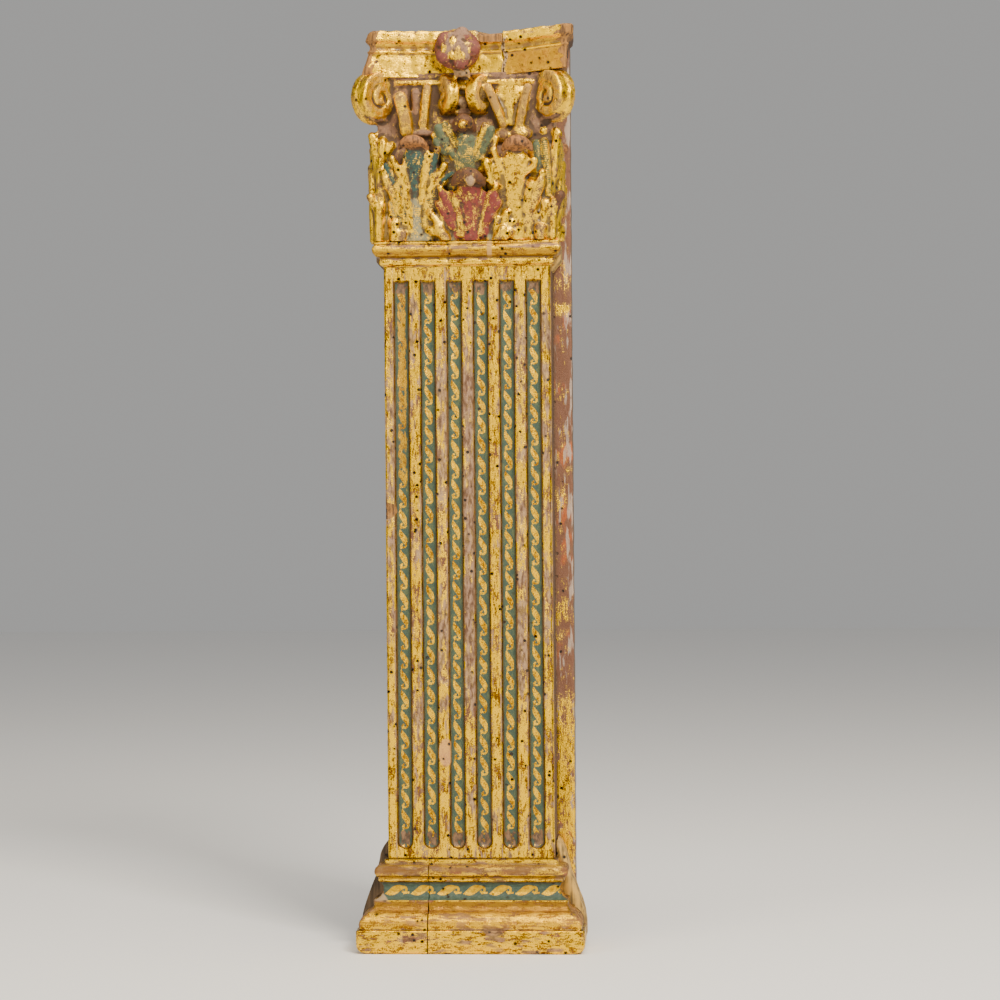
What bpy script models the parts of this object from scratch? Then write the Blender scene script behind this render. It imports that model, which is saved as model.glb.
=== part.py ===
"""A carved and gilded wooden pilaster with a Corinthian capital, built as its joiner's pieces.

The front looks along -Y and the origin is the middle of the underside. Lengths are in metres.
The shaft's front face is the reference plane: a size called "out" is measured forwards from it.
"""

import math

import bmesh
import bpy
import numpy as np
from mathutils import Matrix, Vector

# Driving sizes of the whole
JOINT_GAP = 0.0003
SHAFT_WIDTH = 0.1544
SHAFT_DEPTH = 0.058
BOARD_THICKNESS = 0.025
BOARD_SHOWING = 0.017
RETURN_DEPTH = 0.022

# Heights above the floor
PLINTH_HEIGHT = 0.0222
BASE_HEIGHT = 0.0844
SHAFT_TOP = 0.6292
NECKING_HEIGHT = 0.0245
CAPITAL_TOP = 0.8460

# Base
PLINTH_OUT = 0.028
PLINTH_ROUND = 0.003
BASE_SEAM_X = -0.039
FLARE_ABOVE_BASE = 0.0146

# Flutes
FLUTE_COUNT = 6
FLUTE_WIDTH = 0.0142
FLUTE_PITCH = 0.02445
FLUTE_DEPTH = 0.005
FLUTE_FOOT = 0.0932
FLUTE_HEAD = 0.619
FLUTE_ARC_STEPS = 8

# Abacus
ABACUS_HEIGHT = 0.0420
ABACUS_OUT_MIDDLE = 0.018
ABACUS_OUT_HORN = 0.030
ABACUS_HORN_LEFT = 0.0865
ABACUS_HORN_RIGHT = 0.0925
ABACUS_CUT = 0.0085
REPAIR_JOINT_X = 0.036
REPAIR_HEIGHT = 0.0395
REPAIR_RISE = 0.0010
REPAIR_SLOPE = 0.085
REPAIR_STEPS = 8

# Capital carving
BELL_HALF_WIDTH = 0.0790
BELL_TOP_HALF_WIDTH = 0.0850
BELL_OUT_FOOT = 0.002
BELL_OUT_HEAD = 0.014
BELL_LIP = 0.0019
LEAF_ROOT_OUT = 0.003
VOLUTE_X = 0.0824
VOLUTE_SHIFT = -0.0016
VOLUTE_OUT = 0.0140
VOLUTE_DROP = 0.0205
VOLUTE_RADIUS = 0.0245
VOLUTE_THICKNESS = 0.019
VOLUTE_TURN = math.radians(40)
HELIX_X = 0.0185
HELIX_SHIFT = -0.0024
HELIX_OUT = 0.0135
HELIX_DROP = 0.0155
HELIX_RADIUS = 0.0200
HELIX_THICKNESS = 0.0085
HELIX_TURN = math.radians(67)
SCROLL_COILS = 1.55
FLEURON_X = -0.0062
FLEURON_OUT = 0.024
FLEURON_DROP = 0.0185
FLEURON_RADII = (0.0213, 0.0135, 0.0188)
FLEURON_LOBES = 5
CARVING_VOXEL = 0.0022
CARVING_KEPT = 0.085

# Leaves as (height above the capital's foot, how far the tip stands out), and tips as (half width, half height)
LOW_LEAF = (0.0645, 0.029)
TALL_LEAF = (0.095, 0.031)
HIGH_LEAF = (0.112, 0.030)
CORNER_LOW_LEAF = (0.056, 0.014)
CORNER_HIGH_LEAF = (0.106, 0.014)
SIDE_LEAF = (0.095, 0.014)
LOW_TIP = (0.0155, 0.0098)
TALL_TIP = (0.0138, 0.0068)
HIGH_TIP = (0.0085, 0.0075)
CORNER_TIP = (0.0035, 0.0050)
TALL_LEAF_X = 0.0490
CORNER_LEAF_X = 0.0780
CORNER_TIP_OUT = 0.0200
LEAF_BLADE_HALF_WIDTH = 0.0110
# Fingers on each side of a leaf: reach across, top and start height
LOW_FINGERS = (
    (0.0185, 0.050, -0.004),
    (0.0290, 0.043, 0.004),
    (0.0330, 0.026, 0.001),
    (0.0400, 0.018, -0.002),
    (0.0390, 0.008, -0.006),
)
TALL_FINGERS = ((0.0135, 0.084, -0.004), (0.0220, 0.078, 0.014), (0.0275, 0.065, 0.014), (0.0165, 0.049, 0.0))
HIGH_FINGERS = ((0.0205, 0.104, 0.052), (0.0285, 0.094, 0.056), (0.0210, 0.083, 0.046))
CORNER_LOW_FINGERS = ((0.006, 0.045, -0.004), (0.0155, 0.029, -0.002), (0.022, 0.018, -0.004))
CORNER_HIGH_FINGERS = ((0.005, 0.100, 0.030), (0.015, 0.092, 0.046), (0.013, 0.072, 0.040))
# Stems of the scrolls: foot and bend as (x, out, below the volutes' middle), then (x, out, above it)
STEMS = (
    ((-0.0525, 0.008, -0.040), (-0.0500, 0.021, -0.014), (-0.0640, 0.025, 0.012), 0.0052),
    ((0.0490, 0.008, -0.036), (0.0530, 0.020, -0.012), (0.0615, 0.025, 0.009), 0.0046),
    ((-0.0440, 0.008, -0.034), (-0.0430, 0.016, -0.014), (-0.0425, 0.015, 0.012), 0.0030),
    ((-0.0380, 0.008, -0.034), (-0.0370, 0.019, -0.009), (-0.0340, 0.018, 0.016), 0.0034),
    ((0.0370, 0.008, -0.034), (0.0330, 0.020, -0.012), (0.0180, 0.020, 0.016), 0.0040),
)

# Places worked out from the sizes
SHAFT_HALF = SHAFT_WIDTH / 2
DEPTH = PLINTH_OUT + SHAFT_DEPTH + BOARD_THICKNESS
BACK_Y = DEPTH / 2
BOARD_FRONT_Y = BACK_Y - BOARD_THICKNESS
BLOCK_BACK_Y = BOARD_FRONT_Y - JOINT_GAP
FRONT_Y = BOARD_FRONT_Y - SHAFT_DEPTH
RETURN_Y = FRONT_Y + RETURN_DEPTH
NECKING_TOP = SHAFT_TOP + NECKING_HEIGHT
CAPITAL_FOOT = NECKING_TOP + JOINT_GAP
ABACUS_FOOT = CAPITAL_TOP - ABACUS_HEIGHT
VOLUTE_HEIGHT = ABACUS_FOOT - VOLUTE_DROP
HELIX_HEIGHT = ABACUS_FOOT - HELIX_DROP
FLEURON_HEIGHT = CAPITAL_TOP - FLEURON_DROP

FLARE_TOP = BASE_HEIGHT + FLARE_ABOVE_BASE
SCOTIA_FOOT = PLINTH_HEIGHT + 0.0253
SCOTIA_HEAD = BASE_HEIGHT - 0.0199
SCOTIA_TALL = SCOTIA_HEAD - SCOTIA_FOOT

# Outlines as (projection beyond the shaft's face, height), from the bottom up
BASE_PROFILE = (
    (PLINTH_OUT - PLINTH_ROUND, 0.0),
    (PLINTH_OUT, PLINTH_ROUND),
    (PLINTH_OUT, PLINTH_HEIGHT - 0.001),
    (0.0255, PLINTH_HEIGHT),
    (0.0255, PLINTH_HEIGHT + 0.0033),
    (0.0245, PLINTH_HEIGHT + 0.0073),
    (0.0220, PLINTH_HEIGHT + 0.0113),
    (0.0180, PLINTH_HEIGHT + 0.0146),
    (0.0145, PLINTH_HEIGHT + 0.0170),
    (0.0125, PLINTH_HEIGHT + 0.0198),
    (0.0125, SCOTIA_FOOT),
    (0.0075, SCOTIA_FOOT + 0.15 * SCOTIA_TALL),
    (0.0045, SCOTIA_FOOT + 0.41 * SCOTIA_TALL),
    (0.0045, SCOTIA_FOOT + 0.68 * SCOTIA_TALL),
    (0.0065, SCOTIA_FOOT + 0.91 * SCOTIA_TALL),
    (0.0090, SCOTIA_HEAD),
    (0.0090, BASE_HEIGHT - 0.0172),
    (0.0108, BASE_HEIGHT - 0.0154),
    (0.0122, BASE_HEIGHT - 0.0112),
    (0.0108, BASE_HEIGHT - 0.0069),
    (0.0080, BASE_HEIGHT - 0.0052),
    (0.0035, BASE_HEIGHT - 0.0049),
    (0.0035, BASE_HEIGHT),
)
FLARE_PROFILE = (
    (0.0275, PLINTH_HEIGHT - 0.004),
    (0.0275, PLINTH_HEIGHT + 0.0078),
    (0.0060, FLARE_TOP - 0.005),
    (0.0012, FLARE_TOP),
)
NECKING_PROFILE = (
    (-0.002, -0.002),
    (0.0010, 0.0028),
    (0.0030, 0.0034),
    (0.0040, 0.0055),
    (0.0036, 0.0085),
    (0.0040, 0.0098),
    (0.0070, 0.0118),
    (0.0098, 0.0148),
    (0.0106, 0.0182),
    (0.0092, 0.0214),
    (0.0080, 0.0220),
    (0.0092, 0.0224),
    (0.0092, NECKING_HEIGHT),
)
ABACUS_PROFILE = (
    (0.0, 0.0),
    (0.0, 0.0222),
    (0.0012, 0.0232),
    (0.0016, 0.0250),
    (0.0030, 0.0285),
    (0.0060, 0.0318),
    (0.0065, 0.0330),
    (0.0065, ABACUS_HEIGHT),
)


def clear_scene():
    for old in list(bpy.data.objects):
        bpy.data.objects.remove(old)


def finish_material(name, colour, roughness, metallic):
    """A Principled BSDF in one colour."""
    material = bpy.data.materials.new(name)
    material.use_nodes = True
    shader = material.node_tree.nodes["Principled BSDF"]
    shader.inputs["Base Color"].default_value = (*colour, 1.0)
    shader.inputs["Roughness"].default_value = roughness
    shader.inputs["Metallic"].default_value = metallic
    return material


def add_object(name, mesh, material=None, helper=False):
    """Links a mesh as an object. A helper is a cutter or guide that doesn't show."""
    made = bpy.data.objects.new(name, mesh)
    bpy.context.scene.collection.objects.link(made)
    if material:
        mesh.materials.append(material)
    if helper:
        made.hide_render = True
        made.display_type = "WIRE"
    return made


def mesh_of(name, points, faces):
    """A mesh from points and faces, with its faces flat and turned outwards."""
    mesh = bpy.data.meshes.new(name)
    mesh.from_pydata([tuple(map(float, p)) for p in points], [], faces)
    work = bmesh.new()
    work.from_mesh(mesh)
    bmesh.ops.connect_verts_nonplanar(work, angle_limit=1e-5, faces=work.faces)
    bmesh.ops.recalc_face_normals(work, faces=work.faces)
    work.to_mesh(mesh)
    work.free()
    return mesh


def tube_faces(rings, sides):
    """Faces of a closed tube of rings, each with the same number of points, with flat ends."""
    faces = [
        (r * sides + k, r * sides + (k + 1) % sides, (r + 1) * sides + (k + 1) % sides, (r + 1) * sides + k)
        for r in range(rings - 1)
        for k in range(sides)
    ]
    faces.append(tuple(range(sides)))
    faces.append(tuple((rings - 1) * sides + k for k in range(sides)))
    return faces


def box_mesh(name, low, high):
    work = bmesh.new()
    size = Vector(high) - Vector(low)
    bmesh.ops.create_cube(
        work, size=1.0, matrix=Matrix.Translation((Vector(low) + Vector(high)) / 2) @ Matrix.Diagonal((*size, 1.0))
    )
    mesh = bpy.data.meshes.new(name)
    work.to_mesh(mesh)
    work.free()
    return mesh


def boolean(target, other, operation, solver="EXACT"):
    step = target.modifiers.new(operation.title() + " " + other.name, "BOOLEAN")
    step.operation = operation
    step.object = other
    step.solver = solver
    return step


def moulding_mesh(name, profile, foot, back_y):
    """A moulding that runs along the front and turns both corners: a rectangle for each point of its profile."""
    points = []
    for out, height in profile:
        half = SHAFT_HALF + out
        z = foot + height
        points += [(-half, back_y, z), (-half, FRONT_Y - out, z), (half, FRONT_Y - out, z), (half, back_y, z)]
    return mesh_of(name, points, tube_faces(len(profile), 4))


def slab_mesh(name, outline, front_y, back_y):
    """A front outline of (x, z) points given a thickness from front to back."""
    points = [(x, y, z) for y in (front_y, back_y) for x, z in outline]
    return mesh_of(name, points, tube_faces(2, len(outline)))


def mirrored_outline(profile, inner_half):
    """The outline of a block whose two sides follow a profile and whose middle stays clear of the shaft."""
    right = [(SHAFT_HALF + out, z) for out, z in profile]
    foot, head = BASE_HEIGHT, profile[-1][1]
    notch = [(inner_half, head), (inner_half, foot)]
    left = [(-x, z) for x, z in right]
    return right + notch + [(-x, z) for x, z in reversed(notch)] + left[::-1]


def make_base(material):
    """The base, in two boards that meet at an upright glue joint."""
    flare = slab_mesh(
        "base flare",
        mirrored_outline(FLARE_PROFILE, SHAFT_HALF + JOINT_GAP),
        RETURN_Y,
        BLOCK_BACK_Y,
    )
    plinth_half = SHAFT_HALF + PLINTH_OUT
    slab = box_mesh(
        "base slab",
        (-plinth_half, RETURN_Y - PLINTH_ROUND, 0.0),
        (plinth_half, BLOCK_BACK_Y, PLINTH_HEIGHT - 0.001),
    )
    helpers = [add_object(mesh.name, mesh, helper=True) for mesh in (flare, slab)]
    sides = (
        ("base_left", -2 * SHAFT_WIDTH, BASE_SEAM_X - JOINT_GAP / 2),
        ("base_right", BASE_SEAM_X + JOINT_GAP / 2, 2 * SHAFT_WIDTH),
    )
    for name, low_x, high_x in sides:
        block = add_object(name, moulding_mesh(name, BASE_PROFILE, 0.0, RETURN_Y + 0.004), material)
        for helper in helpers:
            boolean(block, helper, "UNION")
        keep = box_mesh(name + " half", (low_x, -DEPTH, -DEPTH), (high_x, DEPTH, 2 * DEPTH))
        boolean(block, add_object(keep.name, keep, helper=True), "INTERSECT")


def flute_cutter(name, x):
    """One flute: a half-ellipse in section, round at its foot and cut off on the slant at its head."""
    half = FLUTE_WIDTH / 2
    stations = [(FLUTE_FOOT + half * (1 - math.cos(t)), math.sin(t)) for t in (0.25, 0.6, 0.95, 1.3)]
    stations += [(FLUTE_FOOT + half, 1.0), (FLUTE_HEAD, 1.0)]
    points = []
    for row, (z, share) in enumerate(stations):
        slant = 1.1 if row == len(stations) - 1 else 0.0
        for k in range(FLUTE_ARC_STEPS + 1):
            angle = math.pi * k / FLUTE_ARC_STEPS
            deep = FLUTE_DEPTH * share * math.sin(angle)
            points.append((x - half * share * math.cos(angle), FRONT_Y + deep, z - slant * deep))
        points.append((x + half * share, FRONT_Y - FLUTE_DEPTH, z + slant * FLUTE_DEPTH))
        points.append((x - half * share, FRONT_Y - FLUTE_DEPTH, z + slant * FLUTE_DEPTH))
    return mesh_of(name, points, tube_faces(len(stations), FLUTE_ARC_STEPS + 3))


def make_shaft(material):
    """The fluted shaft with the necking moulding round its head."""
    spare = 0.002
    body = box_mesh("shaft", (-SHAFT_HALF, FRONT_Y, 0.0), (SHAFT_HALF, BLOCK_BACK_Y + spare, NECKING_TOP + spare))
    shaft = add_object("shaft", body, material)
    for number in range(FLUTE_COUNT):
        x = (number - (FLUTE_COUNT - 1) / 2) * FLUTE_PITCH
        cutter = flute_cutter(f"flute {number + 1}", x)
        boolean(shaft, add_object(cutter.name, cutter, helper=True), "DIFFERENCE")
    profile = NECKING_PROFILE + ((NECKING_PROFILE[-1][0], NECKING_HEIGHT + 2 * spare),)
    necking = moulding_mesh("necking", profile, SHAFT_TOP, RETURN_Y)
    boolean(shaft, add_object("necking", necking, helper=True), "UNION")
    block_half = SHAFT_HALF + 0.009
    head = NECKING_TOP + 3 * spare
    right = [
        (SHAFT_HALF - 0.010, SHAFT_TOP - 0.008),
        (SHAFT_HALF + 0.0005, SHAFT_TOP - 0.0015),
        (block_half, SHAFT_TOP + 0.006),
        (block_half, head),
    ]
    outline = right + [(-x, z) for x, z in reversed(right)]
    shoulder = slab_mesh("necking shoulder", outline, RETURN_Y - 0.004, BLOCK_BACK_Y + 2 * spare)
    # The exact solver leaves this one step open
    boolean(shaft, add_object("necking shoulder", shoulder, helper=True), "UNION", "MANIFOLD")
    keep = box_mesh("shaft bounds", (-DEPTH, -DEPTH, BASE_HEIGHT + JOINT_GAP), (DEPTH, BLOCK_BACK_Y, NECKING_TOP))
    boolean(shaft, add_object(keep.name, keep, helper=True), "INTERSECT")


def make_back_board(material):
    """The flat board behind, flush with the shaft on its left and showing as a strip on its right."""
    low = (-SHAFT_HALF, BOARD_FRONT_Y, 0.0)
    high = (SHAFT_HALF + BOARD_SHOWING, BACK_Y, CAPITAL_TOP - 0.004)
    add_object("back_board", box_mesh("back_board", low, high), material)


def bar(centre, width, thickness, facing, sides=8):
    """A rounded bar round a line of centres: points and faces.

    width and thickness are half-widths along the line, and thickness is measured along facing.
    Both ends close like half a ball.
    """
    facing = np.array(facing, float)
    ahead = np.gradient(centre, axis=0)
    ahead /= np.linalg.norm(ahead, axis=1)[:, None]
    out = facing - ahead * (ahead @ facing)[:, None]
    out /= np.linalg.norm(out, axis=1)[:, None]
    beside = np.cross(ahead, out)
    along = np.concatenate([[0], np.cumsum(np.linalg.norm(np.diff(centre, axis=0), axis=1))])
    end = np.clip(np.minimum(along, along[-1] - along) / width, 0, 1)
    close = np.sqrt(1 - 0.96 * (1 - end) ** 2)[:, None, None]
    angle = np.arange(sides) * math.tau / sides
    across = beside[:, None] * np.cos(angle)[:, None] * np.reshape(width, (-1, 1, 1))
    ring = across + out[:, None] * np.sin(angle)[:, None] * np.reshape(thickness, (-1, 1, 1))
    return (centre[:, None] + ring * close).reshape(-1, 3), tube_faces(len(centre), sides)


def stroke(path, half_widths, thickness, facing, sides=8, rings=11):
    """A bar along a smooth path.

    The path's few points pull a Bezier curve, so it bends evenly. half_widths are those at the
    start, the middle and the end, and thickness is a share of them.
    """
    path = np.array(path, float)
    degree = len(path) - 1
    t = (1 - np.cos(np.linspace(0, 1, rings) * math.pi)) / 2
    weights = np.array([math.comb(degree, k) * t**k * (1 - t) ** (degree - k) for k in range(degree + 1)])
    start, middle, end = half_widths
    width = start * (1 - t) ** 2 + (4 * middle - start - end) * t * (1 - t) + end * t**2
    return bar(weights.T @ path, width, thickness * width, facing, sides)


class Carving:
    """Gathers overlapping rounded shapes into one mesh, which a remesh then fuses into one solid."""

    def __init__(self):
        self.points = []
        self.faces = []
        self.frame = Matrix.Identity(4)

    def turn_to(self, x, out, height, turn):
        """Sets where the next shapes stand: local x across, y outwards, z up, turned about the upright."""
        place = Matrix.Translation((x, FRONT_Y - out, height))
        self.frame = place @ Matrix.Rotation(turn, 4, "Z") @ Matrix.Diagonal((1, -1, 1, 1))

    def add(self, points, faces):
        first = len(self.points)
        self.points += [self.frame @ Vector(p) for p in points]
        self.faces += [tuple(first + k for k in face) for face in faces]

    def bar(self, centre, width, thickness):
        self.add(*bar(centre, width, thickness, (0, 1, 0)))

    def stroke(self, path, half_widths, thickness=0.8):
        self.add(*stroke(path, half_widths, thickness, (0, 1, 0)))

    def knob(self, centre, radii, segments=10, rings=6):
        work = bmesh.new()
        shape = Matrix.Translation(centre) @ Matrix.Diagonal((*radii, 1.0))
        bmesh.ops.create_uvsphere(work, u_segments=segments, v_segments=rings, radius=1.0, matrix=shape)
        self.add([v.co for v in work.verts], [tuple(v.index for v in f.verts) for f in work.faces])
        work.free()


def carve_leaf(carving, leaf, fingers, tip, sides=(-1, 1), foot=-0.004, blade=LEAF_BLADE_HALF_WIDTH):
    """One acanthus leaf in the carving's frame: a blade that leans out, webs, fingers and a curled tip."""
    height, tip_out = leaf

    def at(x, z, lift=0.0):
        share = min(max(z, 0.0), height) / height
        return x, LEAF_ROOT_OUT + (tip_out - 0.010) * share**2.4 + lift, z

    spine = [at(0, z) for z in (foot, 0.35 * height, 0.7 * height, 0.97 * height)]
    carving.stroke(spine, (0.8 * blade, blade, 1.1 * blade), 0.38)
    carving.knob((0, tip_out - 0.0075, height - tip[1]), (tip[0], 0.0078, tip[1]))
    reach, top = max(f[0] for f in fingers), max(f[1] for f in fingers)
    for side in sides:
        web = [at(side * 0.25 * reach, foot), at(side * 0.45 * reach, 0.5 * top), at(side * 0.60 * reach, 0.84 * top)]
        carving.stroke(web, (0.24 * reach, 0.36 * reach, 0.34 * reach), 0.30)
        for far, high, start in fingers:
            half = 0.0021 + 0.022 * (high - start)
            bend = at(side * 0.45 * far, start + 0.6 * (high - start), 0.0028)
            path = [at(side * (0.001 + 0.3 * far), start, 0.002), bend, at(side * far, high, 0.0034)]
            carving.stroke(path, (0.7 * half, half, 1.25 * half), 0.9)


def carve_scroll(carving, radius, thickness, coils, inward):
    """A volute in the local x and z plane: a drum with a spiral band on both faces, and an eye.

    The band starts on the inner side, goes over the top and winds in.
    """
    segments = 20
    drum = [
        (0.97 * radius * math.cos(k * math.tau / segments), y, 0.97 * radius * math.sin(k * math.tau / segments))
        for y in (-0.36 * thickness, 0.36 * thickness)
        for k in range(segments)
    ]
    carving.add(drum, tube_faces(2, segments))
    share = np.linspace(0, 1, 40)
    turn = math.tau * coils * share
    reach = radius * (0.79 - 0.62 * share**0.85)
    centre = np.stack([inward * reach * np.cos(turn), 0 * share, reach * np.sin(turn)], -1)
    carving.bar(centre, radius * (0.20 - 0.06 * share), np.full(len(share), 0.5 * thickness))
    carving.knob((0, 0, 0), (0.21 * radius, 0.56 * thickness, 0.21 * radius))


def carve_flower(carving, radii, lobes):
    """A ball with ridges that run from the middle of its front to the rim, and a lobe between each two."""
    carving.knob((0, 0, 0), radii, 16, 10)

    def on_ball(angle, share, lift):
        x, z = share * radii[0] * math.sin(angle), share * radii[2] * math.cos(angle)
        return x, radii[1] * math.sqrt(1 - share**2) + lift, z

    size = 0.36 * radii[0]
    for k in range(lobes):
        angle = math.tau * k / lobes
        carving.knob(on_ball(angle, 0.74, -0.2 * size), (size, 0.8 * size, size))
        ridge = [on_ball(angle + math.pi / lobes, share, 0.0020) for share in (0.10, 0.55, 0.90)]
        carving.stroke(ridge, (0.0024, 0.0030, 0.0036), 1.0)


def abacus_out(x):
    """How far forwards the abacus stands at x: a shallow curve, furthest at the horns."""
    return ABACUS_OUT_MIDDLE + (ABACUS_OUT_HORN - ABACUS_OUT_MIDDLE) * (x / ABACUS_HORN_RIGHT) ** 2


def abacus_points(inner_x, horn_x, steps, tall, rise, slope):
    """Points of a length of abacus from inner_x to its horn, one ring for each point of its profile."""
    side = math.copysign(1.0, horn_x)
    points = []
    for out, height in ABACUS_PROFILE:
        step_back = ABACUS_PROFILE[-1][0] - out
        front = [(x, abacus_out(x) - step_back) for x in np.linspace(inner_x, horn_x, steps + 1)]
        corner_x = horn_x + side * (ABACUS_CUT - step_back)
        corner_out = abacus_out(horn_x) - ABACUS_CUT
        outline = front + [(corner_x, corner_out), (corner_x - side * 0.003, FRONT_Y - BLOCK_BACK_Y)]
        outline.append((inner_x, FRONT_Y - BLOCK_BACK_Y))
        z = ABACUS_FOOT + rise + height * tall / ABACUS_HEIGHT
        points += [(x, FRONT_Y - forward, z + slope * (x - inner_x)) for x, forward in outline]
    return points, tube_faces(len(ABACUS_PROFILE), steps + 4)


def make_repair(material):
    """The right end of the abacus, a block glued back on a little high and out of level."""
    place = (REPAIR_JOINT_X, ABACUS_HORN_RIGHT, REPAIR_STEPS, REPAIR_HEIGHT, REPAIR_RISE, REPAIR_SLOPE)
    points, faces = abacus_points(*place)
    add_object("abacus_right_end", mesh_of("abacus_right_end", points, faces), material)


def carve_capital():
    """The carving of the capital as overlapping shapes: bell, leaves, volutes, helices, fleuron and abacus."""
    carving = Carving()
    bell = []
    bell_height = ABACUS_FOOT + 0.004 - CAPITAL_FOOT
    for share in (0.0, 0.4, 0.75, 1.0):
        half = BELL_HALF_WIDTH + (BELL_TOP_HALF_WIDTH - BELL_HALF_WIDTH) * share**3
        y = FRONT_Y - BELL_OUT_FOOT - (BELL_OUT_HEAD - BELL_OUT_FOOT) * share**2
        z = CAPITAL_FOOT + bell_height * share - (0.01 if share == 0 else 0)
        bell += [(-half, BLOCK_BACK_Y + 0.01, z), (-half, y, z), (half, y, z), (half, BLOCK_BACK_Y + 0.01, z)]
    carving.add(bell, tube_faces(4, 4))

    points, faces = abacus_points(REPAIR_JOINT_X + 0.004, -ABACUS_HORN_LEFT, 12, ABACUS_HEIGHT, 0.0, 0.0)
    carving.add(points, faces)
    lip_z, lip_out = ABACUS_FOOT - 2.6 * BELL_LIP, BELL_OUT_HEAD - 0.001
    carving.turn_to(0, 0, 0, 0.0)
    carving.stroke([(x, lip_out, lip_z) for x in (-0.064, 0, 0.064)], (BELL_LIP,) * 3, 1.0)

    carving.turn_to(0.003, BELL_OUT_FOOT, CAPITAL_FOOT, 0.0)
    carve_leaf(carving, LOW_LEAF, LOW_FINGERS, LOW_TIP)
    high, out = LOW_LEAF
    midrib = [(0.002, 0.69 * out, high), (0.002, 0.93 * out, high - 0.004), (0.002, out + 0.001, high - 0.015)]
    carving.stroke(midrib, (0.0045,) * 3, 1.0)
    carving.turn_to(-0.001, BELL_OUT_FOOT, CAPITAL_FOOT, 0.0)
    carve_leaf(carving, HIGH_LEAF, HIGH_FINGERS, HIGH_TIP, foot=0.03, blade=1.2 * LEAF_BLADE_HALF_WIDTH)
    corner_leaves = ((CORNER_LOW_LEAF, CORNER_LOW_FINGERS), (CORNER_HIGH_LEAF, CORNER_HIGH_FINGERS))
    for side in (-1, 1):
        carving.turn_to(side * TALL_LEAF_X, BELL_OUT_FOOT, CAPITAL_FOOT, 0.0)
        carve_leaf(carving, TALL_LEAF, TALL_FINGERS, TALL_TIP)
        # The corner leaves wrap round: half lies on the front, half on the side, and the tip curls outwards
        for turn, half in ((0.0, -side), (side * math.pi / 2, side)):
            x, out = (side * CORNER_LEAF_X, 0.0) if turn == 0 else (side * BELL_HALF_WIDTH, -0.004)
            carving.turn_to(x, out, CAPITAL_FOOT, turn)
            for (height, reach), fingers in corner_leaves:
                flat = (height, reach if turn == 0 else reach - 0.003)
                carve_leaf(carving, flat, fingers, CORNER_TIP, (half,), blade=0.5 * LEAF_BLADE_HALF_WIDTH)
        carving.turn_to(side * (CORNER_LEAF_X - 0.001), 0.0, CAPITAL_FOOT, side * math.pi / 4)
        for (height, _), _ in corner_leaves:
            tip = (0, CORNER_TIP_OUT, 0.95 * height)
            spine = [(0, 0.002, 0.43 * height), (0, 0.5 * CORNER_TIP_OUT, 0.86 * height), tip]
            carving.stroke(spine, (0.005, 0.006, 0.0055), 0.8)
        # One leaf in the middle of each side
        carving.turn_to(side * BELL_HALF_WIDTH, -0.036, CAPITAL_FOOT, side * math.pi / 2)
        carve_leaf(carving, SIDE_LEAF, TALL_FINGERS, TALL_TIP)

        carving.turn_to(side * VOLUTE_X + VOLUTE_SHIFT, VOLUTE_OUT, VOLUTE_HEIGHT, -side * VOLUTE_TURN)
        carve_scroll(carving, VOLUTE_RADIUS, VOLUTE_THICKNESS, SCROLL_COILS, -side)
        carving.turn_to(side * HELIX_X + HELIX_SHIFT, HELIX_OUT, HELIX_HEIGHT, side * HELIX_TURN)
        carve_scroll(carving, HELIX_RADIUS, HELIX_THICKNESS, SCROLL_COILS, side)
    carving.turn_to(0, 0, VOLUTE_HEIGHT, 0.0)
    for *path, half in STEMS:
        carving.stroke(path, (half,) * 3, 1.1)

    carving.turn_to(FLEURON_X, FLEURON_OUT, FLEURON_HEIGHT, 0.0)
    carve_flower(carving, FLEURON_RADII, FLEURON_LOBES)
    # Between the helices: a ledge under the flower, a block behind and a bead
    carving.turn_to(HELIX_SHIFT - 0.001, 0, ABACUS_FOOT, 0.0)
    carving.stroke([(0, 0.012, -0.004), (0, 0.024, 0.0), (0, 0.028, 0.007)], (0.008, 0.009, 0.007), 0.7)
    carving.stroke([(0, 0.004, -0.010), (0, 0.012, -0.0095), (0, 0.019, -0.009)], (0.0085,) * 3, 0.7)
    carving.turn_to(HELIX_SHIFT - 0.001, 0, HELIX_HEIGHT, 0.0)
    carving.stroke([(0, 0.006, -0.006), (0, 0.014, -0.0055), (0, 0.024, -0.005)], (0.0058,) * 3, 1.0)
    return mesh_of("capital", carving.points, carving.faces)


def make_capital(material):
    """The capital in one block, fused from its carving and cut flat where it meets its neighbours."""
    capital = add_object("capital", carve_capital(), material)
    fuse = capital.modifiers.new("Fuse", "REMESH")
    fuse.mode = "VOXEL"
    fuse.voxel_size = CARVING_VOXEL
    thin = capital.modifiers.new("Thin", "DECIMATE")
    thin.ratio = CARVING_KEPT
    keep = box_mesh("capital bounds", (-DEPTH, -DEPTH, CAPITAL_FOOT), (DEPTH, BLOCK_BACK_Y, 1.0))
    boolean(capital, add_object(keep.name, keep, helper=True), "INTERSECT")
    # The seat of the glued end: everything to its right and above its sloping underside
    near, far = REPAIR_JOINT_X - JOINT_GAP, REPAIR_JOINT_X + 2 * ABACUS_HORN_RIGHT
    low = ABACUS_FOOT + REPAIR_RISE - 1.5 * JOINT_GAP
    seat = [(near, low), (far, low + REPAIR_SLOPE * (far - near)), (far, 1.0), (near, 1.0)]
    cutter = slab_mesh("abacus seat", seat, -DEPTH, DEPTH)
    boolean(capital, add_object(cutter.name, cutter, helper=True), "DIFFERENCE")


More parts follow.
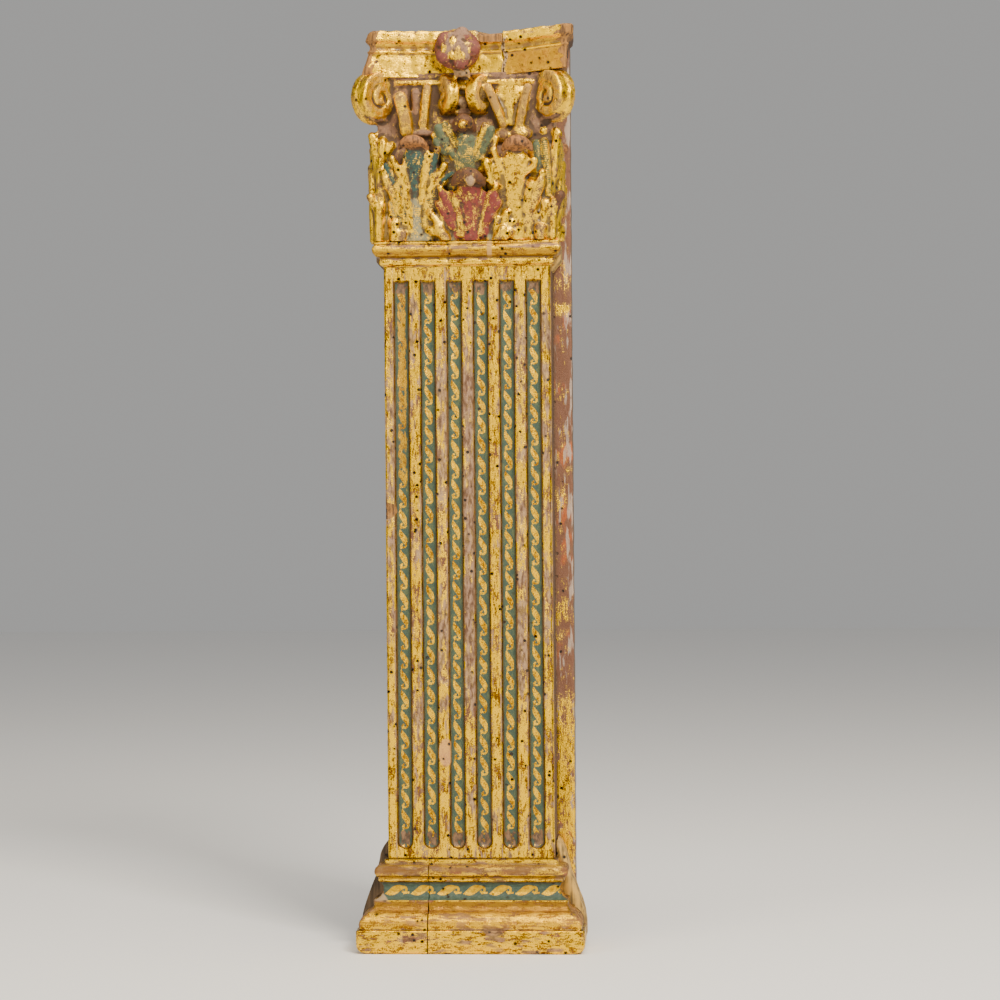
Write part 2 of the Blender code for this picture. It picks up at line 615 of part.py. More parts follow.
def main():
    clear_scene()
    gilding = finish_material("gilded wood", (0.72, 0.48, 0.12), 0.38, 0.75)
    carved = finish_material("painted carving", (0.62, 0.46, 0.22), 0.5, 0.4)
    bare = finish_material("worn bole", (0.36, 0.20, 0.13), 0.75, 0.0)
    make_base(gilding)
    make_shaft(gilding)
    make_back_board(bare)
    make_capital(carved)
    make_repair(gilding)


main()
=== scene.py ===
# %% [markdown]
# # A gilded pilaster from an old altarpiece
# The real object is a flat fluted pilaster of carved wood. A joiner cut it, a carver worked the
# capital, and a gilder laid gold leaf over red bole on white gesso. Two or three centuries of dusting,
# damp and woodworm did the rest. This lesson dresses the plain solids of its pieces: each piece is
# made again as a fine surface in the same place, and then gets its worn gold and paint.

# %% Start
import math

import bmesh
import bpy
import mathutils
import numpy as np
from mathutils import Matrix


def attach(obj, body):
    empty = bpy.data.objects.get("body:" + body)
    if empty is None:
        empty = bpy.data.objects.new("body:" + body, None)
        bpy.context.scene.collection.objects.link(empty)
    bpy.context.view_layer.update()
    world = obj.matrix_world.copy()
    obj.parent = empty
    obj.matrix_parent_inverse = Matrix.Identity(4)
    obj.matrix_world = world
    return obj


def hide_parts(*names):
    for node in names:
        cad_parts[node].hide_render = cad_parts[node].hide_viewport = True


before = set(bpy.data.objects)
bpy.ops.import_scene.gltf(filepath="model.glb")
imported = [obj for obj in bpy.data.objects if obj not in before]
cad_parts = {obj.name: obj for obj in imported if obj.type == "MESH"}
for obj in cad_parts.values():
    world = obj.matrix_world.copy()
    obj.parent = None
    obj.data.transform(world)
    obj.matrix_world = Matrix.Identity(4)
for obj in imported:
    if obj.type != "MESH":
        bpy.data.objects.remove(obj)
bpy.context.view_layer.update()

# %% [markdown]
# ## The joiner's sizes
# The surfaces repeat the driving sizes of the solids, in metres. The front looks along -Y, and a
# size called "out" is measured forwards from the shaft's front face.

# %% Sizes
SHAFT_HALF = 0.0772
DEPTH = 0.111
BACK_Y = DEPTH / 2
BOARD_FRONT_Y = BACK_Y - 0.025
GLUE = 0.0003
BLOCK_BACK_Y = BOARD_FRONT_Y - GLUE
FRONT_Y = BOARD_FRONT_Y - 0.058
RETURN_Y = FRONT_Y + 0.022
BASE_HEIGHT = 0.0844
SHAFT_FOOT = BASE_HEIGHT + GLUE
SHAFT_TOP = 0.6292
NECKING_TOP = SHAFT_TOP + 0.0245
CAPITAL_FOOT = NECKING_TOP + GLUE
CAPITAL_TOP = 0.8460
ABACUS_TALL = 0.0420
ABACUS_FOOT = CAPITAL_TOP - ABACUS_TALL
BASE_SEAM_X = -0.039
REPAIR_JOINT_X = 0.036
REPAIR_SLOPE = 0.085
CHIP_HEIGHT = 0.4062
FLUTE_SPACING = 0.02445
FLUTE_CENTRES = (np.arange(6) - 2.5) * FLUTE_SPACING
FLUTE_HALF = 0.0071
FLUTE_DEPTH = 0.005
FLUTE_FOOT = 0.0932
FLUTE_HEAD = 0.619
HEAD_SLOPE = 0.65
print("flutes at", FLUTE_CENTRES.round(4))

# %% [markdown]
# ## From arrays to meshes
# Every piece below is a grid of points: rings stacked along the piece, each with the same number
# of points. One helper turns such a grid into a closed mesh, with a flat face on each end. Masks
# that the materials need later, such as where the wood is bare, are stored on the points.


# %% Meshes from grids
def ring_faces(rings, sides):
    """Quads between neighbouring rings of a closed tube, then one face for each end."""
    first = np.arange(rings - 1)[:, None] * sides + np.arange(sides)
    after = np.arange(rings - 1)[:, None] * sides + (np.arange(sides) + 1) % sides
    quads = np.stack([first, after, after + sides, first + sides], axis=-1).reshape(-1, 4)
    ends = [list(range(sides)), list(range((rings - 1) * sides, rings * sides))]
    return quads.tolist() + ends


def make_piece(name, points, faces, values=None):
    """An object from points and faces, smooth and facing outwards, with named values on its points."""
    mesh = bpy.data.meshes.new(name)
    mesh.from_pydata(points.reshape(-1, 3), [], faces)
    for key, value in (values or {}).items():
        kind = "FLOAT" if value.ndim == 1 else "FLOAT_COLOR"
        slot = mesh.attributes.new(key, kind, "POINT")
        slot.data.foreach_set("value" if value.ndim == 1 else "color", value.ravel())
    work = bmesh.new()
    work.from_mesh(mesh)
    bmesh.ops.recalc_face_normals(work, faces=work.faces)
    work.to_mesh(mesh)
    work.free()
    mesh.shade_smooth()
    piece = bpy.data.objects.new(name, mesh)
    bpy.context.scene.collection.objects.link(piece)
    return piece


def tube_piece(name, points, **values):
    """A closed tube from a grid of points shaped (rings, sides, 3)."""
    rings, sides = points.shape[:2]
    flat = {key: np.broadcast_to(value, (rings, sides)).ravel() for key, value in values.items()}
    piece = make_piece(name, points, ring_faces(rings, sides), flat)
    print(name, "has", len(piece.data.polygons), "faces")
    return piece


# %% [markdown]
# ## Age
# Nothing on the real piece is straight any more. A smooth random field, the sum of a few sine waves
# that run in many directions, bends edges by fractions of a millimetre. A second helper measures
# how hollow the surface is at each point: dirt gathers and painted shade darkens where it is hollow,
# and gold rubs off where it stands proud.


# %% Ageing helpers
def ripple(points, size, seed, waves=16):
    """A smooth field with spread 1: sines of the points along random directions, summed.

    The waves are about `size` metres long.
    """
    draw = np.random.default_rng(seed)
    way = draw.normal(size=(waves, 3))
    way *= math.tau / size * draw.uniform(0.6, 1.5, (waves, 1)) / np.linalg.norm(way, axis=1)[:, None]
    phase = draw.uniform(0, math.tau, waves)
    return np.sin(points @ way.T + phase).sum(axis=-1) / math.sqrt(waves / 2)


def read(mesh, source, name, width):
    """A property of all points, edges or faces as an array with `width` columns."""
    values = np.empty(len(source) * width)
    source.foreach_get(name, values)
    return values.reshape(-1, width)


def spread(values, edges, count):
    """Each point's value becomes the mean of its own and its neighbours'."""
    total = values.copy()
    for column in range(values.shape[1]):
        total[:, column] += np.bincount(edges[:, 0], values[edges[:, 1], column], len(values))
        total[:, column] += np.bincount(edges[:, 1], values[edges[:, 0], column], len(values))
    return total / (1 + count[:, None])


def age(piece, bend=0.0, bend_size=0.03, seed=1, passes=10):
    """Bends a piece along its normals and stores how hollow it is, in units of half a millimetre."""
    mesh = piece.data
    points = read(mesh, mesh.vertices, "co", 3)
    normals = read(mesh, mesh.vertex_normals, "vector", 3)
    if bend:
        move = bend * (ripple(points, bend_size, seed) - 1.2)
        points += normals * np.clip(move, -3 * bend, 0)[:, None]
        mesh.vertices.foreach_set("co", points.ravel())
    edges = read(mesh, mesh.edges, "vertices", 2).astype(int)
    count = np.bincount(edges.ravel(), minlength=len(points))
    smooth = points
    for _ in range(passes):
        smooth = spread(smooth, edges, count)
    hollow = ((smooth - points) * normals).sum(axis=1, keepdims=True) / 0.0005
    hollow = spread(spread(hollow, edges, count), edges, count)
    slot = mesh.attributes.new("hollow", "FLOAT", "POINT")
    slot.data.foreach_set("value", hollow.ravel())
    mesh.update()
    return piece


def soften(start, stop, value):
    """Rises smoothly from 0 to 1 while value goes from start to stop."""
    t = np.clip((value - start) / (stop - start), 0, 1)
    return t * t * (3 - 2 * t)


def bump(distance, reach):
    """1 at distance 0, falling in a bell to nothing past the reach."""
    return np.exp(-((distance / reach) ** 2))


# %% [markdown]
# ## Mouldings
# A joiner runs a moulding with a plane, so its section is the same all along. Here a section is a
# short list of corners. It is walked at even steps and its arrises are eased a little, because
# gesso fills sharp hollows and wear rounds sharp edges.


# %% Walking a section
def walk(corners, step):
    """Even steps along a line of corners, eased by averaging neighbours."""
    corners = np.array(corners, float)
    reach = np.concatenate([[0], np.cumsum(np.linalg.norm(np.diff(corners, axis=0), axis=1))])
    at = np.linspace(0, reach[-1], int(reach[-1] / step) + 2)
    line = np.stack([np.interp(at, reach, column) for column in corners.T], axis=1)
    line[1:-1] = (line[:-2] + 2 * line[1:-1] + line[2:]) / 4
    return line


def run_round(line, left, right, back_y, foot, step=0.0012, corner=0.0012):
    """Carries a section of (out, height) round a rectangle: each point becomes one closed ring.

    left and right are the rectangle's ends for each ring. Near a front corner, points are drawn
    in to a quarter circle of radius corner, which may differ on the left and right.
    """
    out, height = line[:, :1], line[:, 1:]
    across = np.linspace(0, 1, int((right[0] - left[0]) / step) + 2)
    deep = np.linspace(0, 1, int((back_y - FRONT_Y) / step) + 2)
    a = np.concatenate([0 * deep[:-1], across[:-1], 0 * deep[:-1] + 1, 1 - across[:-1]])
    b = np.concatenate([deep[:-1], 0 * across[:-1] + 1, 1 - deep[:-1], 0 * across[:-1]])
    left, right = np.reshape(left, (-1, 1)), np.reshape(right, (-1, 1))
    front = FRONT_Y - out
    x = left + a * (right - left)
    y = back_y + b * (front - back_y)
    for end, way, curve in zip((left, right), (1, -1), np.broadcast_to(corner, 2)):
        dx, dy = way * (x - end) - curve, y - front - curve
        inside = (dx < 0) & (dy < 0)
        size = np.where(inside, np.hypot(dx, dy) / curve, 1)
        x = np.where(inside, end + way * (curve + dx / size), x)
        y = np.where(inside, front + curve + dy / size, y)
    return np.stack([x, y, foot + height + 0 * x], axis=-1)


# %% [markdown]
# ## The shaft
# The shaft is a block with six flutes. Its ring runs once round the block: along the front it has
# many points, placed so that the edges of the flutes fall exactly on points. The depth of a flute
# is a half-ellipse across it. It dies away in a quarter circle at the foot, and the head is cut
# off by a slanted face. A chip is missing from the left edge at mid height.


# %% The shaft's surface
def flute_depth(x, z):
    """Half-ellipse across a flute, quarter circle at its foot, slanted cut at its head."""
    off = np.abs(x[..., None] - FLUTE_CENTRES).min(axis=-1) / FLUTE_HALF
    foot = np.clip((FLUTE_FOOT + FLUTE_HALF - z) / FLUTE_HALF, 0, None)
    depth = FLUTE_DEPTH * np.sqrt(np.clip(1 - off**2 - foot**2, 0, None))
    return np.minimum(depth, np.clip(FLUTE_HEAD - z, 0, None) / HEAD_SLOPE)


def shaft_rings():
    """One ring for each height, and how raw each point is.

    The front's points crowd at the flutes' edges, where each flute gets 19 points spaced as the
    cosine of equal steps. Behind the corners the same ring runs back along both sides.
    """
    half_turn = -np.cos(np.linspace(0, math.pi, 19)) * FLUTE_HALF
    stops = [centre + half_turn for centre in FLUTE_CENTRES]
    edges = [-SHAFT_HALF] + [x for s in stops for x in (s[0], s[-1])] + [SHAFT_HALF]
    fillets = [np.linspace(edges[2 * k], edges[2 * k + 1], 8)[1:-1] for k in range(7)]
    front = np.concatenate([np.concatenate([f, s]) for f, s in zip(fillets, stops)] + [fillets[-1]])
    margin = np.array([0, 0.0003, 0.0008, 0.0015])
    front = np.concatenate([margin - SHAFT_HALF, front, SHAFT_HALF - margin[::-1]])
    deep = np.linspace(0, BLOCK_BACK_Y - FRONT_Y, 24)[1:]
    x = np.concatenate([front, SHAFT_HALF + 0 * deep, -SHAFT_HALF + 0 * deep[::-1]])
    inward = np.concatenate([0 * front, deep, deep[::-1]])
    ends = np.linspace(SHAFT_FOOT, 0.106, 30), np.linspace(0.600, SHAFT_TOP + 0.004, 40)
    z = np.concatenate([ends[0], np.linspace(ends[0][-1], ends[1][0], 330)[1:-1], ends[1]])[:, None]
    x, inward = x + 0 * z, inward + 0 * z
    # Hand work: the edges of the flutes wander by a quarter of a millimetre
    wander = 0.00022 * ripple(np.stack([x, 0 * x, z + 0 * x], -1), 0.05, 3)
    depth = np.where(inward == 0, flute_depth(x, z + 0 * x), 0)
    edge = np.clip(SHAFT_HALF - np.abs(x), 0, None)
    bevel = 0.0011 * np.clip(1 - edge / 0.0012, 0, None) ** 2 * (inward == 0)
    from_chip = z - CHIP_HEIGHT
    chip = 0.0035 * bump(x + SHAFT_HALF, 0.009) * bump(from_chip, 0.0055) * (inward == 0)
    side_chip = 0.0030 * bump(inward, 0.004) * bump(from_chip, 0.005) * (x < 0) * (inward > 0)
    y = FRONT_Y + inward + depth + bevel + chip
    x = x + wander * (edge > 0.003) * (inward == 0) + side_chip
    raw = np.clip(bump(x + SHAFT_HALF, 0.009) * bump(from_chip, 0.0065) * 2.2, 0, 1)
    raw = np.where(inward > 0.002, 1.0, raw)
    return np.stack([x, y, z + 0 * x], -1), raw


shaft_points, shaft_raw = shaft_rings()
shaft = age(tube_piece("shaft_fluted", shaft_points, raw=shaft_raw), 0.00008, 0.02, 5)
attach(shaft, "root")
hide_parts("shaft")

# %% [markdown]
# ## The necking
# Between the shaft and the leaves runs a small moulding: a bead, a hollow, a round and a thin
# fillet. It turns both corners. Behind the turn, the block is left raw and slopes down to the shaft.

# %% The necking's section and its raw shoulder
NECKING = (
    (-0.002, -0.002), (0.0010, 0.0028), (0.0030, 0.0034), (0.0040, 0.0055), (0.0036, 0.0085),
    (0.0036, 0.0098), (0.0070, 0.0112), (0.0096, 0.0145), (0.0103, 0.0182), (0.0090, 0.0212),
    (0.0078, 0.0220), (0.0090, 0.0225), (0.0090, 0.0245), (-0.004, 0.0245),
)
necking_line = walk(NECKING, 0.0006)
necking_half = SHAFT_HALF + necking_line[:, 0]
necking_points = run_round(
    necking_line, -necking_half, necking_half, RETURN_Y, SHAFT_TOP, corner=0.0022
)
# A split runs up through the moulding, 16 mm left of its middle
split = 0.0012 * bump(necking_points[..., 0] + 0.0165, 0.0007) * (necking_points[..., 1] < FRONT_Y)
necking_points[..., 1] += split
necking = tube_piece("necking", necking_points, raw=0 * necking_points[..., 0])
age(necking, 0.00012, 0.012, 7)
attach(necking, "root")

# %% [markdown]
# ## The base
# The base is two boards glued at an upright joint, with one moulding planed across both: a plinth,
# a big round, a hollow with painted scrolls, a small round and a fillet. The moulding turns the
# corner, and behind it the block is left raw and flares from the shaft down to the plinth.

# %% The base's section
BASE = (
    (0.0255, 0.0000), (0.0275, 0.0020), (0.0280, 0.0100), (0.0280, 0.0214), (0.0250, 0.0224),
    (0.0258, 0.0262), (0.0250, 0.0300), (0.0222, 0.0336), (0.0182, 0.0368), (0.0150, 0.0390),
    (0.0132, 0.0412), (0.0127, 0.0424), (0.0127, 0.0474), (0.0100, 0.0480), (0.0070, 0.0502),
    (0.0048, 0.0542), (0.0046, 0.0590), (0.0062, 0.0625), (0.0088, 0.0646), (0.0090, 0.0670),
    (0.0086, 0.0676), (0.0108, 0.0692), (0.0121, 0.0715), (0.0122, 0.0745), (0.0110, 0.0772),
    (0.0086, 0.0788), (0.0036, 0.0794), (0.0034, 0.0800), (0.0034, 0.0844),
)
FLARE = (
    (-0.030, 0.0), (0.0195, 0.0), (0.0235, 0.0015), (0.0265, 0.0045), (0.0279, 0.0085),
    (0.0279, 0.021), (0.0268, 0.030), (0.0240, 0.040), (0.0205, 0.050), (0.0165, 0.060),
    (0.0130, 0.069), (0.0112, 0.078), (0.0092, 0.087), (0.0058, 0.0945), (0.0018, 0.099),
    (0.0006, 0.099), (0.0006, 0.0840), (-0.030, 0.0840),
)
base_line = walk(BASE, 0.0006)
SEAM_GAP = 0.00006
PLINTH_WEAR = 0.008
ROUND_CORNER, SHARP_CORNER = 0.0034, 0.0002


def make_base(name, left, right, corner, seed):
    """One board of the base between its two ends. The plinth's lower outer corner is worn round."""
    out, height = base_line.T
    below = np.clip(PLINTH_WEAR - height, 0, PLINTH_WEAR)
    worn = PLINTH_WEAR - np.sqrt(PLINTH_WEAR**2 - below**2)
    ends = left(out, worn) + 0 * out, right(out, worn) + 0 * out
    points = run_round(base_line, *ends, RETURN_Y + 0.001, 0.0, corner=corner)
    # The ends of the mouldings are worn back to bare end grain
    beside = np.abs(points[..., 0]) - SHAFT_HALF
    raw = soften(0.0, 0.010, beside - 0.72 * out[:, None] + 0.0022 * ripple(points, 0.006, 4))
    raw *= soften(0.022, 0.026, points[..., 2])
    return age(tube_piece(name, points, raw=raw), 0.00016, 0.014, seed, passes=6)


base_left = make_base(
    "base_mouldings_left",
    lambda out, worn: worn - SHAFT_HALF - out,
    lambda out, worn: BASE_SEAM_X - SEAM_GAP,
    (ROUND_CORNER, SHARP_CORNER), 11,
)
base_right = make_base(
    "base_mouldings_right",
    lambda out, worn: BASE_SEAM_X + SEAM_GAP,
    lambda out, worn: SHAFT_HALF + out - worn,
    (SHARP_CORNER, ROUND_CORNER), 12,
)
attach(base_left, "root")
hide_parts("base_left")
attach(base_right, "root")
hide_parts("base_right")

# %% [markdown]
# ## The raw block behind the mouldings
# Only the front and the first bit of each side were finished, since the rest was out of sight. The
# block behind them was hewn to a flare at the base and to a slope below the leaves, and left bare.
# Each of these forms is one section carried straight back to the board.


# %% Flares, shoulders and the block's core
def extrude_back(name, section, side, foot, seed):
    """A section of (beyond the shaft's side, height) carried from front to back, with hewn faces."""
    line = walk(section, 0.0011)
    y = np.linspace(RETURN_Y - 0.001, BLOCK_BACK_Y, 34)[:, None]
    x = side * (SHAFT_HALF + line[:, 0]) + 0 * y
    points = np.stack([x, y + 0 * x, foot + line[:, 1] + 0 * x], -1)
    piece = age(tube_piece(name, points, raw=1 + 0 * x), 0.00025, 0.016, seed)
    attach(piece, "root")
    return piece


SHOULDER = ((-0.010, 0.0), (0.0085, 0.0), (0.0088, -0.016), (0.0005, -0.0265), (-0.010, -0.0265))
for label, side in (("left", -1), ("right", 1)):
    extrude_back(f"base_flare_{label}", FLARE, side, 0.0, 21)
    extrude_back(f"necking_shoulder_{label}", SHOULDER, side, NECKING_TOP, 23)

core_line = np.array([(-0.012, 0.0), (-0.012, 0.084)])
core_half = np.full(2, 0.05)
core = run_round(core_line, -core_half, core_half, BLOCK_BACK_Y, 0.0, step=0.004)
core_piece = tube_piece("base_core", core, raw=1 + 0 * core[..., 0])
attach(age(core_piece), "root")

# %% [markdown]
# ## The board behind
# A plain board carries everything. It is flush on the left, and on the right it shows as a strip
# with red bole, whitish gesso and patches of gold. Its ring is a rectangle with eased corners.

# %% The board's surface
BOARD_RIGHT = SHAFT_HALF + 0.017
BOARD_TOP = CAPITAL_TOP - 0.004


def make_board():
    """A straight section behind the block's front, carried round the board's rectangle."""
    rise = np.linspace(0, BOARD_TOP, 300)
    line = np.stack([0 * rise - (BOARD_FRONT_Y - FRONT_Y), rise], axis=1)
    flat = np.ones(len(rise))
    return run_round(line, -SHAFT_HALF * flat, BOARD_RIGHT * flat, BACK_Y, 0.0, step=0.0024)


board_points = make_board()
board = age(tube_piece("board", board_points, raw=0 * board_points[..., 0]), 0.0002, 0.02, 31)
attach(board, "root")
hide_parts("back_board")

# %% [markdown]
# ## The abacus
# The slab on top of the capital has a face that curves in plan, and horns at its corners whose cut
# ends are bare wood. Its right end broke off and was glued on again a little high and out of level.
# Each point of the section becomes a ring that follows the plan: the curved face, the cut end of
# the horn, the side, the back and the joint.

# %% The abacus and its glued end
ABACUS = (
    (0.0002, 0.0), (0.0002, 0.0212), (0.0018, 0.0220), (0.0020, 0.0238), (0.0006, 0.0246),
    (0.0006, 0.0270), (0.0022, 0.0296), (0.0056, 0.0318), (0.0065, 0.0330), (0.0065, 0.0400),
    (0.0046, 0.0420),
)
HORN_LEFT = 0.0865
HORN_RIGHT = 0.0925
HORN_CUT = 0.0085
ABACUS_OUT = 0.0065


def abacus_out(x):
    """A shallow curve in plan: 18 mm out in the middle and 30 mm out at the right horn."""
    return 0.018 + 0.012 * (x / HORN_RIGHT) ** 2


def leg(start, stop, count):
    """Points from one corner of each ring to the next, leaving out the last."""
    t = np.linspace(0, 1, count + 1)[:-1]
    return start[:, None] + t[None, :, None] * (stop - start)[:, None]


def abacus_rings(inner, horn, tall, rise, slope, lean=0.0):
    """The rings of the abacus from the joint at `inner` to the horn, and how bare each point is.

    tall is its height. rise and slope lift it, as a whole and with the distance from the joint.
    lean pushes the foot of the cut horn outwards and draws its top in.
    """
    line = walk(ABACUS, 0.0007)
    side = math.copysign(1, horn)
    back = (ABACUS_OUT - line[:, 0])[:, None]
    x = np.linspace(inner, horn, 150)[None]
    face = np.stack([x + 0 * back, abacus_out(x) - back], -1)
    flat = 0 * line[:, 0]
    corner = np.stack([horn + side * (HORN_CUT - back[:, 0]), abacus_out(horn) - HORN_CUT + flat], -1)
    rear = FRONT_Y - BLOCK_BACK_Y
    heel = np.stack([corner[:, 0] - side * 0.003, rear + flat], -1)
    hidden = np.stack([inner + flat, rear + flat], -1)
    parts = [face[:, :-1], leg(face[:, -1], corner, 14), leg(corner, heel, 60), leg(heel, hidden, 60)]
    plan = np.concatenate(parts + [leg(hidden, face[:, 0], 60)], axis=1)
    z = ABACUS_FOOT + rise + line[:, 1:] * tall / ABACUS_TALL + slope * (plan[..., 0] - inner)
    beside = side * (plan[..., 0] - horn)
    share = line[:, 1:] / ABACUS_TALL
    x = plan[..., 0] + side * lean * (0.45 - share) * soften(-0.014, 0.002, beside)
    points = np.stack([x, FRONT_Y - plan[..., 1], z], -1)
    bare = np.zeros(plan.shape[:2])
    bare[:, face.shape[1] - 1 :] = 1
    bare = np.maximum(bare, soften(-0.0070, -0.0025, beside + 0.0020 * ripple(points, 0.008, 41)))
    return points, bare


# The upper edge is lost beside the flower, and the wood there is bare
points, bare = abacus_rings(REPAIR_JOINT_X - 0.0002, -HORN_LEFT, ABACUS_TALL, 0.0, 0.0, 0.0135)
high = soften(0.028, 0.036, points[..., 2] - ABACUS_FOOT)
worn = soften(0.010, 0.017, points[..., 0]) * high * (points[..., 1] < FRONT_Y - 0.004)
points[..., 2] -= 0.0032 * worn
points[..., 1] += 0.0010 * worn
abacus = age(tube_piece("abacus", points, raw=np.maximum(bare, 0.9 * worn)), 0.0003, 0.012, 42)
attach(abacus, "root")

points, bare = abacus_rings(REPAIR_JOINT_X, HORN_RIGHT, 0.0395, 0.0010, REPAIR_SLOPE)
repair = age(tube_piece("abacus_glued_end", points, raw=bare), 0.0003, 0.012, 43)
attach(repair, "root")
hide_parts("abacus_right_end")

# %% [markdown]
# ## Carving the capital
# A carver roughs out a bell and cuts leaves, scrolls and a flower from it with gouges, so every form
# is a rounded stroke. Here each stroke is a bar along a smooth path, an ellipse in section, and a
# leaf is a blade with a few dozen of them. All strokes are then fused into one skin with a voxel
# remesh, which softens the creases as gesso does.
#
# Each stroke also carries its finish: a paint colour, how much gold lies on it, how far along and
# across the stroke a point is, and how bare the wood is. The fused skin takes these over from the
# nearest stroke.

# %% Finishes of the carving, as (red, green, blue, share of gold)
LOOKS = {
    "gold": (0.110, 0.040, 0.012, 1.0),
    "thin gold": (0.16, 0.078, 0.028, 0.72),
    "ground": (0.205, 0.105, 0.056, 0.26),
    "cream": (0.35, 0.185, 0.030, 0.60),
    "pale": (0.31, 0.190, 0.090, 0.16),
    "mist": (0.22, 0.200, 0.105, 0.30),
    "red": (0.175, 0.021, 0.015, 0.26),
    "rose": (0.155, 0.036, 0.024, 0.30),
    "dusty": (0.25, 0.135, 0.080, 0.20),
    "red hatch": (0.17, 0.022, 0.014, 0.62),
    "teal": (0.020, 0.058, 0.046, 0.26),
    "teal hatch": (0.028, 0.062, 0.042, 0.58),
    "grey green": (0.075, 0.098, 0.046, 0.32),
    "green hatch": (0.070, 0.092, 0.036, 0.60),
    "brown wood": (0.105, 0.036, 0.009, 0.20),
    "ochre wood": (0.32, 0.125, 0.028, 0.08),
}
print(len(LOOKS), "looks for the carving")


# %% Strokes
class Carving:
    """Gathers strokes, with the finish of each on its points."""

    def __init__(self):
        self.points, self.faces, self.paint, self.work = [], [], [], []
        self.count = 0
        self.stand((0, 0, 0), 0)

    def stand(self, place, turn, mirror=1):
        """Next shapes stand at (x, out, height), turned about the upright; local y points outwards."""
        x, out, height = place
        c, s = math.cos(turn), math.sin(turn)
        self.turn = np.array([[mirror * c, s, 0], [mirror * s, -c, 0], [0, 0, 1]])
        self.place = np.array([x, FRONT_Y - out, height])
        self.flip = mirror < 0

    def add(self, points, faces, look, along=0.0, across=0.0):
        """Stores one stroke where the carving stands now. The last two faces are its ends."""
        points = points.reshape(-1, 3) @ self.turn.T + self.place
        size = len(points)
        order = -1 if self.flip else 1
        self.points.append(points)
        self.faces += (np.array(faces[:-2])[:, ::order] + self.count).tolist()
        self.faces += [[k + self.count for k in face][::order] for face in faces[-2:]]
        self.paint.append(np.broadcast_to(LOOKS[look], (size, 4)))
        bare = 1.0 if "wood" in look else 0.0
        scored = 1.0 if "hatch" in look else 0.0
        marks = [np.broadcast_to(np.ravel(value), size) for value in (along, across, bare, scored)]
        self.work.append(np.stack(marks, axis=1))
        self.count += size

    def bar(self, centre, width, look, thick, square=1.0):
        """A bar round a line of centres. width and thick are half-widths, and the ends are half balls.

        square below 1 flattens its four faces, since the ring's sine and cosine are raised to it.
        """
        facing, sides = np.array([0.0, 1.0, 0.0]), 16
        ahead = np.gradient(centre, axis=0)
        ahead /= np.linalg.norm(ahead, axis=1)[:, None]
        out = facing - ahead * (ahead @ facing)[:, None]
        out /= np.linalg.norm(out, axis=1)[:, None]
        beside = np.cross(ahead, out)
        along = np.concatenate([[0], np.cumsum(np.linalg.norm(np.diff(centre, axis=0), axis=1))])
        end = np.clip(np.minimum(along, along[-1] - along) / width, 0, 1)
        close = np.sqrt(1 - 0.98 * (1 - end) ** 2)[:, None, None]
        angle = np.arange(sides) * math.tau / sides
        flat = np.sign(np.cos(angle)) * np.abs(np.cos(angle)) ** square
        tall = np.sign(np.sin(angle)) * np.abs(np.sin(angle)) ** square
        ring = beside[:, None] * flat[:, None] * np.reshape(width, (-1, 1, 1))
        ring = ring + out[:, None] * tall[:, None] * np.reshape(thick, (-1, 1, 1))
        places = along[:, None] + 0 * flat
        points = centre[:, None] + ring * close
        self.add(points, ring_faces(len(centre), sides), look, places, flat + 0 * places)

    def stroke(self, path, widths, look, thick, square=1.0):
        """A bar along a Bezier path, whose half-width runs through three values.

        thick is a share of that half-width.
        """
        path = np.array(path, float)
        degree = len(path) - 1
        t = (1 - np.cos(np.linspace(0, 1, 26) * math.pi)) / 2
        powers = range(degree + 1)
        share = np.array([math.comb(degree, k) * t**k * (1 - t) ** (degree - k) for k in powers])
        start, middle, stop = widths
        width = start * (1 - t) ** 2 + (4 * middle - start - stop) * t * (1 - t) + stop * t**2
        self.bar(share.T @ path, width, look, thick * width, square=square)

    def knob(self, centre, radii, look, rings=14, sides=20):
        """An egg: circles of latitude about the upright axis."""
        up = np.linspace(0.03, 0.97, rings)[:, None] * math.pi
        turn = np.arange(sides) * math.tau / sides
        x, y, z = np.sin(up) * np.cos(turn), np.sin(up) * np.sin(turn), -np.cos(up) + 0 * turn
        ball = np.stack([x, y, z], -1)
        self.add(np.array(centre) + ball * np.array(radii), ring_faces(rings, sides), look)


# %% [markdown]
# ## Acanthus leaves
# Each leaf rises from the foot of the bell, leans out and curls its tip forwards like a hood. Its
# sides are cut into lobes that end in small knobs. Every leaf here is different, as on the real
# piece, so each has a short list of gouge strokes, set out in millimetres from the foot of its spine.


